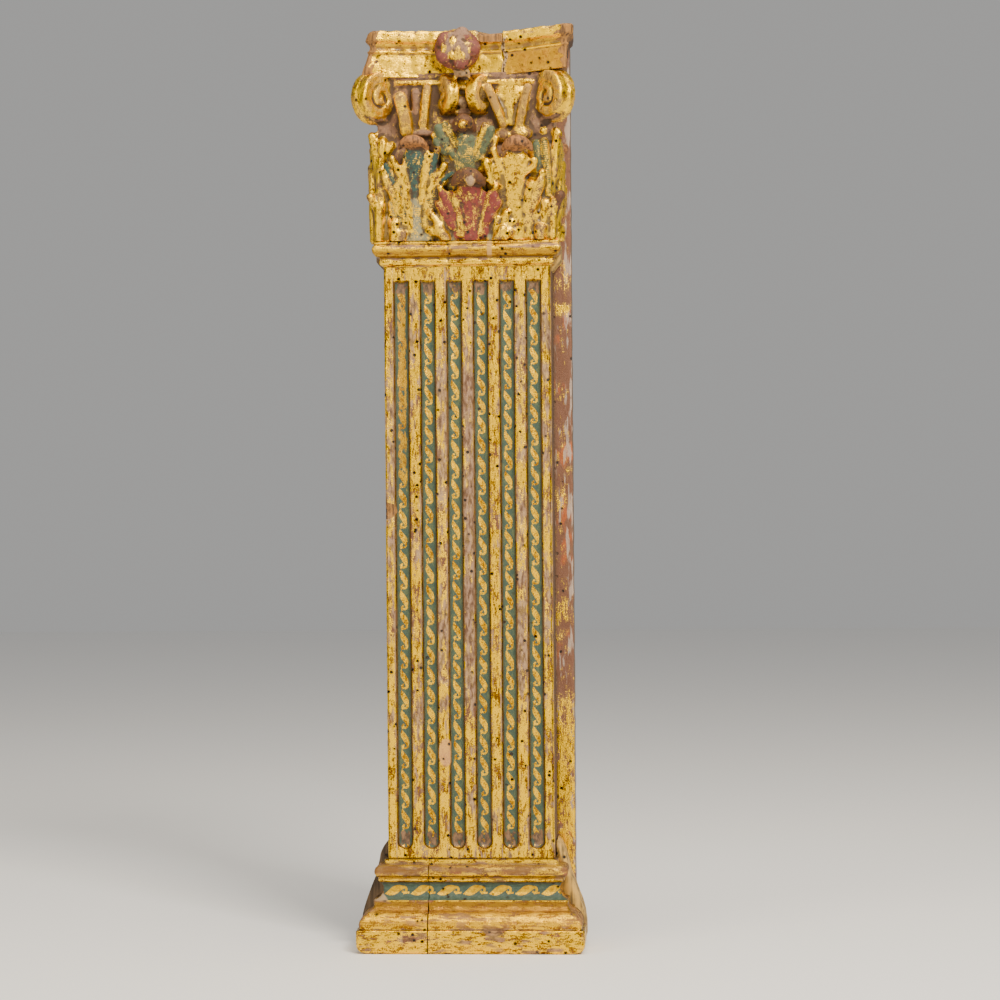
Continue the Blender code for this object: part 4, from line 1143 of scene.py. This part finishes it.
def bare_wood(f, colour, roughness, metallic, height):
    """Shows bare wood where the points are marked raw, with a torn edge."""
    grain = f.noise(0.0022, (1, 1, 0.07), 5.0, 2.2)
    raw = (f.stored("raw") + (f.noise(0.004, detail=4.0, shift=8.0) - 0.5) * 0.9).rise(0.40, 0.56)
    old = f.mix(RAW_OCHRE, RAW_BROWN, f.y.rise(FRONT_Y + 0.004, FRONT_Y + 0.016))
    wood = f.mix((0.050, 0.022, 0.008), old, grain.rise(0.30, 0.62))
    colour = f.mix(colour, wood, raw)
    return colour, roughness + (0.75 - roughness) * raw, metallic * (1.0 - raw), height + grain * raw


def rubbed_patches(f, size, grain, area_size, area_grain, shift):
    """Noise for patches where the leaf is rubbed through: fine, and higher in some broad areas."""
    area = f.noise(area_size, area_grain, 2.0, shift + 1.0)
    return f.noise(size, grain, 5.0, shift) + (area - 0.5) * 0.8


# %% [markdown]
# ## The painted scroll
# The flutes and the hollow of the base carry the same running scroll, gold on dark teal. In each
# repeat a thick leaf rises like a wave to a crest, and a thin curl hooks over from it. The leaf is a
# lens with pointed ends, bent by a cubic so that both ends run level, and the curl is an open ring.


# %% A running scroll
def running_scroll(f, along, across, period, size, fat=0.0030):
    """1 on the scroll. along and across are metres in the pattern, which repeats each period."""
    share = (along / period).math("FRACT")
    a = (share - 0.5) * (period / size) + 0.0018
    b = across / size
    lean = math.radians(27)
    p = a * math.cos(lean) + b * math.sin(lean)
    q = b * math.cos(lean) - a * math.sin(lean) + p * p.squared() * 2400.0 - p * 0.06
    half = fat - (p - 0.001).squared() * fat * 9400.0
    leaf = (half - abs(q)).rise(-0.00025, 0.00035)
    ring_a, ring_b = a - 0.0085, b - 0.0006
    reach = (ring_a.squared() + ring_b.squared()).math("SQRT")
    open_side = (ring_a * 0.9 + ring_b * 0.3).rise(-0.0018, -0.0008)
    curl = abs(reach - 0.0027).rise(0.0013, 0.0008) * open_side
    tail = abs(b + 0.0026 - (a - 0.0085) * 0.12).rise(0.0010, 0.0006) * (a - 0.0085).rise(-0.0008, 0.0004)
    bead = ((a - 0.0078).squared() + (b + 0.0012).squared()).math("SQRT").rise(0.0013, 0.0008)
    return leaf.math("MAXIMUM", curl).math("MAXIMUM", tail).math("MAXIMUM", bead)


# %% [markdown]
# ## The shaft's finish
# Gold with upright scratches, thinnest on the middle fillets, where mauve bole and pale gesso show.
# Flutes are dark teal with the scroll running down them. Their heads and feet are bare, and painted shade
# darkens their walls and edges.

# %% Shaft finish
UPRIGHT = (1.0, 1.0, 0.22)
LEVEL = (0.22, 1.0, 1.0)


def finish_shaft():
    """Gilded fillets, worn each to its own degree, and painted flutes with bare ends and shaded walls."""
    f = Finish("shaft gilding")
    step = f.x / FLUTE_SPACING + 2.5
    flute = step.math("ROUND").math("MINIMUM", 5.0).math("MAXIMUM", 0.0)
    across = (step - flute) * FLUTE_SPACING
    foot = (FLUTE_FOOT + FLUTE_HALF - f.z).math("MAXIMUM", 0.0)
    oval = (across / FLUTE_HALF).squared() + (foot / FLUTE_HALF).squared()
    droop = (1.0 - (across / FLUTE_HALF).squared()).math("MAXIMUM", 0.0).math("SQRT") * 0.0027
    below_head = (f.z + droop).rise(FLUTE_HEAD - 0.0002, FLUTE_HEAD - 0.0014)
    inside = oval.rise(0.82, 0.62) * below_head
    wall_shade = oval.rise(1.04, 0.94) * below_head

    # Each fillet is worn to its own degree, most of all at mid height
    height_band = f.z.rise(0.62, 0.52) * f.z.rise(0.13, 0.30)
    fillets = {-0.0715: 0.16, -0.0489: 0.10, -0.0245: 0.30, 0.0: 0.44, 0.0489: 0.24, 0.0715: 0.14}
    wear = sum(f.x.near(x, 0.0090) * share for x, share in fillets.items())
    leaf = 0.68 - wear * height_band - f.z.near(0.60, 0.03) * 0.04
    arris = across.near(-0.00795, 0.0011) * f.noise(0.012, (1, 1, 0.3), 3.0, 31.0).rise(0.44, 0.56)
    ground = ground_coat(f, pale=arris * 0.25)
    colour, roughness, metallic, height = rubbed_gold(f, leaf - arris * 0.42, ground, UPRIGHT)
    rub = rubbed_patches(f, 0.0035, UPRIGHT, 0.030, (1, 1, 0.5), 37.0)
    rub = (rub + wear * height_band * 0.62 + arris * 0.12).rise(0.60, 0.70)
    streak = f.noise(0.0025, (1, 1, 0.3), 4.0, 39.0)
    mauve = f.mix((0.095, 0.048, 0.024), (0.31, 0.185, 0.112), streak.rise(0.38, 0.62))
    colour = f.mix(colour, mauve, rub * 0.9)
    metallic = metallic * (1.0 - rub)
    roughness = roughness + rub * 0.2
    # Painted shade along the flutes' edges and down their walls
    rim = oval.rise(1.55, 1.10) * below_head
    colour = f.mix(colour, (0.10, 0.040, 0.004), rim * 0.55)
    colour = f.mix(colour, (0.10, 0.040, 0.004), wall_shade * (0.6 + (1.0 - oval) * 0.5))

    drift = (f.noise(0.05, detail=1.0, shift=4.0) - 0.5) * 0.006
    scroll = running_scroll(f, flute * 0.0043 - f.z + drift, across + 0.0003 + drift * 0.2, 0.0185, 0.86)
    upper_left = f.x.rise(-0.052, -0.058) * f.z.rise(0.39, 0.46)
    worn = f.noise(0.0035, (1, 1, 0.5), 5.0, 15.0)
    edge = 0.0042 + (f.noise(0.009, (1, 1, 0.6), 3.0, 16.0) - 0.5) * 0.006
    band = (edge - abs(across)).rise(-0.0008, 0.0010) * upper_left
    scroll = (scroll * (1.0 - upper_left * 0.4) + band * 0.55 + (worn - 0.5) * 1.6).rise(0.38, 0.62)
    speck = f.noise(0.0012, detail=2.0, shift=25.0)
    paint = f.mix(TEAL, (0.075, 0.100, 0.042), (worn * 0.6 + speck * 0.4).rise(0.46, 0.62))
    gold_line = f.mix((0.30, 0.125, 0.0), (0.92, 0.54, 0.0), (worn * 0.5 + speck * 0.5).rise(0.38, 0.58))
    gold_line = f.mix(gold_line, (0.25, 0.125, 0.03), upper_left * 0.55)
    painted = f.mix(paint, gold_line, scroll)
    ends = f.z.rise(0.600, 0.611) + f.z.rise(0.116, 0.105)
    ends = ends * (1.0 - oval.rise(0.15, 0.60) * 0.45)
    bare = (ends * 0.8 + (worn - 0.5) * 1.8).rise(0.46, 0.66)
    wood = f.mix((0.045, 0.025, 0.011), (0.20, 0.105, 0.045), worn.rise(0.38, 0.66))
    painted = f.mix(painted, wood, bare)
    # Painted shade, deeper towards each flute's walls and foot
    painted = f.mix(painted, DIRT_AND_SHADE, oval.rise(0.30, 0.85) * 0.55)
    colour = f.mix(colour, painted, inside)
    metallic = metallic * (1.0 - inside) + inside * scroll * (1.0 - bare) * 0.95
    roughness = roughness * (1.0 - inside) + inside * (0.66 - scroll * 0.26)
    scar = (((f.x + 0.0228) / 0.0068).squared() + ((f.z - 0.1824) / 0.0125).squared()).rise(1.3, 0.8)
    colour = f.mix(colour, (0.52, 0.25, 0.075), scar * (1.0 - inside) * 0.85)
    more = f.x.near(0.0, 0.045) * 0.06 + f.x.near(0.0, 0.010) * f.z.near(0.16, 0.05) * 0.1 - inside * 0.2
    colour, height = pierce(f, colour, height, more=more)
    return f.finish(*bare_wood(f, colour, roughness, metallic * (1.0 - scar), height))


# %% [markdown]
# ## The mouldings' finish
# On the mouldings the leaf is rubbed off along the rounds, where cloths and hands passed, old dust has
# gone brown on some of them, and painted shade darkens the hollows and undersides. So each finish is
# written in bands of height. The right end of the abacus has wavy gesso in its joint, and the base has
# a dark seam between its two boards.


# %% Abacus, necking, base, raw wood and board
def finish_abacus():
    """Bright gold, painted shade in the moulding's hollow and on the glued end's fascia, gesso in the
    joint.
    """
    f = Finish("abacus gilding")
    beyond = (f.x - REPAIR_JOINT_X).math("MAXIMUM", 0.0)
    rise = f.z - ABACUS_FOOT - beyond * REPAIR_SLOPE
    worn = f.noise(0.012, (0.5, 1, 1), 4.0, 61.0)
    top = rise.rise(0.0335, 0.0365)
    leaf = 0.98 - top * 0.48 * worn.rise(0.40, 0.55)
    ground = f.mix(ground_coat(f, 3.0), RAW_BROWN, f.x.rise(0.036, 0.040) * 0.6)
    colour, roughness, metallic, height = rubbed_gold(f, leaf, ground, (0.5, 1.0, 0.6), clean=0.11)
    # Painted shade in the hollow of the moulding and in the crease under its bead
    hollow = rise.near(0.0272, 0.0030) + rise.near(0.0210, 0.0008) * 0.8
    colour, metallic = shade(f, colour, metallic, (0.20, 0.080, 0.0), hollow * 0.75)
    # Painted shade on the fascia of the glued end
    glued_end_shade = f.x.rise(0.034, 0.040) * rise.rise(0.0215, 0.0195)
    colour, metallic = shade(f, colour, metallic, (0.36, 0.150, 0.0), glued_end_shade * (0.60 + worn * 0.4))
    wave = ((f.z * (math.tau / 0.022)).math("SINE") * 0.0016) + (worn - 0.5) * 0.006
    gesso = (f.x - 0.0372 - wave).near(0.0, 0.0030).rise(0.25, 0.55) * rise.rise(0.036, 0.033)
    fill = f.noise(0.0022, detail=3.0, shift=71.0)
    filler = f.mix((0.05, 0.025, 0.010), (0.38, 0.24, 0.10), fill.rise(0.40, 0.52))
    colour = f.mix(colour, filler, gesso)
    patch = (f.x - 0.0165).near(0.0, 0.010) * rise.rise(0.026, 0.031)
    colour = f.mix(colour, (0.42, 0.27, 0.11), patch.rise(0.3, 0.6) * 0.7)
    height = height + gesso * (0.6 + fill)
    colour, height = pierce(f, colour, height)
    return f.finish(*bare_wood(f, colour, roughness, metallic * (1.0 - gesso), height))


def finish_necking():
    """Gold, dull and mauve along the top of the bead, with painted shade in the hollows and under the
    round.
    """
    f = Finish("necking gilding")
    rise = f.z - SHAFT_TOP
    top = rise.near(0.0195, 0.0035)
    leaf = 0.72 - top * 0.30 * f.noise(0.02, (0.5, 1, 1), 3.0, 41.0).rise(0.35, 0.55)
    colour, roughness, metallic, height = rubbed_gold(f, leaf, ground_coat(f, 3.0), LEVEL)
    rub = rubbed_patches(f, 0.0040, (0.25, 1, 1), 0.030, (0.5, 1, 1), 47.0)
    rub = (rub + top * 0.17 - 0.03).rise(0.60, 0.70)
    colour, metallic = f.mix(colour, (0.21, 0.105, 0.062), rub * 0.9), metallic * (1.0 - rub)
    # Painted shade in the hollows
    hollow = rise.near(0.0105, 0.0022) + rise.near(0.0012, 0.0014)
    colour, metallic = shade(f, colour, metallic, (0.11, 0.045, 0.002), hollow * 0.85)
    # Painted shade on the lower part of the round
    colour, metallic = shade(f, colour, metallic, (0.24, 0.095, 0.0), rise.near(0.0140, 0.0052) * 0.75)
    patch = f.x.near(0.0215, 0.0036).rise(0.2, 0.5) * rise.rise(0.009, 0.012)
    colour = f.mix(colour, (0.50, 0.27, 0.075), patch * 0.8)
    colour, height = pierce(f, colour, height)
    return f.finish(*bare_wood(f, colour, roughness, metallic * (1.0 - patch), height))


def finish_base():
    """Gold rubbed off along the rounds, painted shade in hollows and creases, and the scroll in the deep
    hollow.
    """
    f = Finish("base gilding")
    streak = f.noise(0.02, (0.35, 1, 1.6), 4.0, 44.0).rise(0.40, 0.60)
    torus = f.z.near(0.0745, 0.008) * (0.35 + streak * 0.65)
    plinth_left = f.x.near(-0.055, 0.026) * f.z.near(0.0145, 0.009)
    plinth_top = f.z.near(0.0180, 0.009) * f.x.rise(-0.045, -0.03) * streak
    round_top = f.z.near(0.0315, 0.008) * f.x.rise(-0.06, 0.03) * streak
    leaf = 0.70 - torus * 0.52 - plinth_left * 0.45 - plinth_top * 0.50 - round_top * 0.45
    ground = ground_coat(f, 6.0)
    red = f.noise(0.014, (0.5, 1, 1), 3.0, 52.0)
    ground = f.mix(ground, (0.28, 0.060, 0.028), red.rise(0.52, 0.66) * 0.8)
    colour, roughness, metallic, height = rubbed_gold(f, leaf, ground, LEVEL)
    rub = rubbed_patches(f, 0.0045, (0.25, 1, 1), 0.035, (0.5, 1, 1), 57.0)
    rub = rub + torus * 0.18 + plinth_left * 0.15 + plinth_top * 0.16 + round_top * 0.13
    rub = rub.rise(0.58, 0.68)
    grain = f.noise(0.003, (0.4, 1, 1), 4.0, 59.0)
    mauve = f.mix((0.080, 0.034, 0.014), (0.25, 0.125, 0.062), grain.rise(0.38, 0.62))
    colour = f.mix(colour, mauve, rub * 0.9)
    metallic = metallic * (1.0 - rub)
    roughness = roughness + rub * 0.2
    bright = f.z.near(0.0060, 0.0050) * f.x.near(0.02, 0.05) * streak
    # Painted shade under the fillet, on the top of the big round, and in a small step higher up
    cove_shade = f.z.rise(0.0476, 0.0455) * f.z.rise(0.0315, 0.0380) + f.z.near(0.0673, 0.0012)
    brown = f.z.rise(0.0705, 0.0745) * f.z.rise(0.0815, 0.0800) * (0.5 + streak * 0.5)
    colour, metallic = shade(f, colour, metallic, (0.19, 0.072, 0.0), cove_shade * 0.85)
    colour, metallic = shade(f, colour, metallic, (0.085, 0.036, 0.008), brown * 0.85, 1.0)
    colour, metallic = shade(f, colour, metallic, (0.24, 0.100, 0.004), torus * 0.55, 0.8)
    colour, metallic = shade(f, colour, metallic, (0.46, 0.21, 0.0), f.z.near(0.0290, 0.0080) * 0.55)
    # Painted shade in the creases between the members; the seam is a real dark joint
    edges = {0.0222: 0.0008, 0.0842: 0.0012, 0.0478: 0.0008, 0.0690: 0.0009}
    crease_shade = sum(f.z.near(z, reach) for z, reach in edges.items())
    seam = (f.x - BASE_SEAM_X).near(0.0, 0.0008) * f.z.rise(0.0368, 0.0360)
    colour = f.mix(colour, (0.05, 0.020, 0.004), (crease_shade * 0.8).math("MAXIMUM", seam))
    hollow = f.z.rise(0.0470, 0.0478) * f.z.rise(0.0640, 0.0634) * f.y.rise(FRONT_Y + 0.004, FRONT_Y)
    scroll = running_scroll(f, f.x + 0.0815, f.z - 0.0556, 0.0241, 1.0, 0.0036)
    worn = f.noise(0.004, detail=4.0, shift=15.0)
    scroll = (scroll + (worn - 0.5) * 0.7).rise(0.40, 0.60)
    paint = f.mix(TEAL, (0.06, 0.095, 0.065), worn.rise(0.4, 0.7))
    painted = f.mix(paint, f.mix((0.46, 0.225, 0.0), (0.72, 0.43, 0.0), worn.rise(0.30, 0.60)), scroll)
    bare_end = ((f.x + 0.0790) * 1.0 + (f.z - 0.0500) * 0.9).rise(0.0010, -0.0010)
    painted = f.mix(painted, (0.36, 0.25, 0.13), bare_end)
    # Painted shade at the top of the hollow, under the fillet
    painted = f.mix(painted, DIRT_AND_SHADE, f.z.rise(0.0600, 0.0640) * 0.6)
    colour = f.mix(colour, painted, hollow)
    metallic = metallic * (1.0 - hollow) + hollow * scroll * (1.0 - bare_end) * 0.95
    roughness = roughness * (1.0 - hollow) + hollow * (0.60 - scroll * 0.10)
    colour = f.mix(colour, (1.0, 0.56, 0.0), bright * 0.5)
    colour, height = pierce(f, colour, height, more=-0.08)
    return f.finish(*bare_wood(f, colour, roughness, metallic, height))


def finish_raw():
    """Old hewn wood, dark with dust; lighter on the right, with gold left on it and painted light there."""
    f = Finish("raw hewn wood")
    grain = f.noise(0.0024, (1, 1, 0.04), 5.0)
    stain = f.noise(0.02, detail=4.0, shift=2.0)
    light = (grain * 0.7 + stain * 0.5).rise(0.40, 0.80)
    colour = f.mix((0.030, 0.018, 0.009), (0.155, 0.096, 0.045), light)
    left_gold = (grain * 0.6 + stain * 0.6).rise(0.48, 0.70)
    gold_remains_and_light = f.mix((0.16, 0.105, 0.035), (0.62, 0.37, 0.08), left_gold)
    # Gold left on the right, lighter there also as painted light on the side facing the main light
    colour = f.mix(colour, gold_remains_and_light, f.x.rise(0.02, 0.04))
    colour, height = pierce(f, colour, grain * 1.0)
    return f.finish(colour, 0.85 - grain * 0.1, stain * 0.0, height)


def finish_board():
    """Red bole and whitish gesso in streaks, with gold near the foot. The hidden faces are bare wood."""
    f = Finish("board bole and gold")
    low = f.z.rise(0.270, 0.180)
    outer = f.x.rise(0.0840, 0.0900)
    streak = f.noise(0.0035, (1, 1, 0.14), 6.0, 21.0)
    blot = f.noise(0.016, (1, 1, 0.5), 5.0, 6.0)
    orange = f.z.near(0.385, 0.055) * f.x.rise(0.0800, 0.0860) * 0.16
    bole = f.mix((0.160, 0.066, 0.034), (0.36, 0.085, 0.018), (blot + orange).rise(0.56, 0.66))
    pale = streak + outer * 0.10 + (blot - 0.5) * 0.5
    ground = f.mix(bole, (0.42, 0.32, 0.255), pale.rise(0.59, 0.69) * 0.85)
    places = ((0.595, 0.012, 0.30), (0.415, 0.018, 0.26), (0.312, 0.020, 0.24))
    leaf = 0.10 + low * 0.48 + sum(f.z.near(z, reach) * share for z, reach, share in places)
    colour, roughness, metallic, height = rubbed_gold(f, leaf, ground, UPRIGHT, 0.7)
    colour, height = pierce(f, colour, height, 0.011)
    inner = f.x.rise(0.0805, 0.0775)
    colour = f.mix(colour, RAW_BROWN, inner * 0.7)
    side = (f.y - BOARD_FRONT_Y).rise(0.0006, 0.0016)
    grain = f.noise(0.0024, (1, 1, 0.04), 5.0, 27.0)
    wood = f.mix((0.070, 0.040, 0.020), (0.20, 0.122, 0.062), grain.rise(0.30, 0.72))
    colour = f.mix(colour, wood, side)
    return f.finish(colour, roughness, metallic * (1.0 - side), height)


# %% [markdown]
# ## The capital's finish
# The paint colour and the share of gold come from the strokes. The gilder scratched fine lines
# through the paint to show the gold below, so a thin hatching crosses the painted strokes.


# %% Capital finish
def finish_capital():
    """Paint and gold as each stroke carries them, gilt edges, and scratched hatching."""
    f = Finish("carved and painted leaves")
    paint = f.stored("paint", "Color")
    share = f.stored("paint", "Alpha")
    marks = f.stored("work", "Color")
    along, across, wood = f.parts("ShaderNodeSeparateColor", marks)
    live = 1.0 - wood
    scored = f.stored("work", "Alpha") * 0.35 + f.noise(0.010, detail=2.0, shift=9.0)
    hatch = (along * (math.tau / 0.0019)).math("SINE").rise(0.0, 0.5) * scored.rise(0.56, 0.72) * live
    edge = abs(across).rise(0.60, 0.90) * live
    mottle = f.noise(0.0035, detail=5.0, shift=19.0)
    ground = f.mix(paint, GESSO, (mottle - share * 0.15).rise(0.57, 0.70) * live * 0.7)
    ground = f.mix(ground, DIRT_AND_SHADE, mottle.rise(0.48, 0.34) * 0.6)
    grain = f.noise(0.0022, (1, 1, 0.35), 4.0, 33.0)
    ground = f.mix(ground, (0.05, 0.02, 0.007), grain.rise(0.52, 0.40) * wood * 0.8)
    leaf = share * 0.80 + hatch * 0.42 + edge * 0.22 - 0.08
    colour, roughness, metallic, height = rubbed_gold(f, leaf, ground, (0.7, 0.7, 0.4), 1.2, 0.05)
    colour, height = pierce(f, colour, height - hatch * 0.4)
    return f.finish(colour, roughness, metallic, height)


SHAFT_FINISH = finish_shaft()
NECKING_FINISH = finish_necking()
ABACUS_FINISH = finish_abacus()
BASE_FINISH = finish_base()
RAW_FINISH = finish_raw()
BOARD_FINISH = finish_board()
CAPITAL_FINISH = finish_capital()

# %% [markdown]
# ## Finishes on pieces
# A finish belongs to a surface, not to a piece of wood: both boards of the base share one. A piece
# that isn't named here is bare wood.

# %% Putting finishes on pieces
WORN = {
    "shaft_fluted": SHAFT_FINISH, "necking": NECKING_FINISH, "abacus": ABACUS_FINISH,
    "abacus_glued_end": ABACUS_FINISH, "base_mouldings_left": BASE_FINISH,
    "base_mouldings_right": BASE_FINISH, "board": BOARD_FINISH, "capital_carving": CAPITAL_FINISH,
}
for piece in [o for o in bpy.data.objects if o.type == "MESH" and o.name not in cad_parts]:
    piece.data.materials.clear()
    piece.data.materials.append(WORN.get(piece.name, RAW_FINISH))

# %% [markdown]
# ## Floor and light
# In the photograph the faces that turn to the left are the darker ones, so the main light stands in
# front on the right. A weaker one on the left, a broad one in front and one above fill the shadows.
# Their colour is a little warm, since the renderer draws gold colder than it is. The floor is pale.


# %% Floor and light
def make_floor():
    """A pale square under the object, 12 m wide."""
    edge = 6.0
    corners = np.array([(-edge, -edge, 0), (edge, -edge, 0), (edge, edge, 0), (-edge, edge, 0)])
    floor = make_piece("floor", corners, [[0, 1, 2, 3]])
    f = Finish("pale floor")
    f.surface.inputs["Base Color"].default_value = (0.86, 0.86, 0.86, 1)
    f.surface.inputs["Roughness"].default_value = 0.9
    floor.data.materials.append(f.material)


def soft_light(name, place, size, power):
    """A rectangular lamp aimed at the middle of the shaft."""
    light = bpy.data.lights.new(name, "AREA")
    light.color = (1.0, 0.90, 0.74)
    light.shape = "RECTANGLE"
    light.size, light.size_y = size
    light.energy = power
    lamp = bpy.data.objects.new(name, light)
    lamp.location = place
    aim = np.array([0, 0, 0.42]) - np.array(place)
    lamp.rotation_euler = mathutils.Vector(aim).to_track_quat("-Z", "Y").to_euler()
    bpy.context.scene.collection.objects.link(lamp)


make_floor()
soft_light("key", (1.1, -1.9, 2.1), (0.8, 0.8), 106)
soft_light("fill", (-1.9, -2.1, 1.3), (1.2, 1.8), 30)
soft_light("front", (0.35, -3.3, 0.7), (2.6, 2.4), 15)
soft_light("top", (0.2, -0.5, 2.6), (1.2, 1.2), 40)
world = bpy.data.worlds.new("studio")
world.use_nodes = True
world.node_tree.nodes["Background"].inputs["Color"].default_value = (1.0, 0.99, 0.97, 1)
world.node_tree.nodes["Background"].inputs["Strength"].default_value = 0.38
bpy.context.scene.world = world

# %% [markdown]
# ## Camera
# The photograph was taken from in front, a little to the right and level with the middle of the
# shaft. A long lens from 2.6 metres keeps the uprights almost parallel.

# %% Camera
CAMERA_TURN = math.radians(3.6)
CAMERA_REACH = 2.622
CAMERA_HEIGHT = 0.424
CAMERA_ROLL = math.radians(-0.45)
AIM_X = 0.0290
AIM_HEIGHT = 0.4152
FOCAL_LENGTH_MM = 102.35


def place_camera():
    """Aims the camera, turned about the upright by CAMERA_TURN, and rolls it."""
    target = np.array([AIM_X, FRONT_Y, AIM_HEIGHT])
    place = target + CAMERA_REACH * np.array([math.sin(CAMERA_TURN), -math.cos(CAMERA_TURN), 0])
    place[2] = CAMERA_HEIGHT
    lens = bpy.data.cameras.new("camera")
    lens.lens = FOCAL_LENGTH_MM
    camera = bpy.data.objects.new("camera", lens)
    camera.location = place
    look = mathutils.Vector(target - place).to_track_quat("-Z", "Y")
    camera.rotation_euler = (look @ mathutils.Quaternion((0, 0, 1), CAMERA_ROLL)).to_euler()
    bpy.context.scene.collection.objects.link(camera)
    bpy.context.scene.camera = camera
    print("camera at", place.round(3))


place_camera()
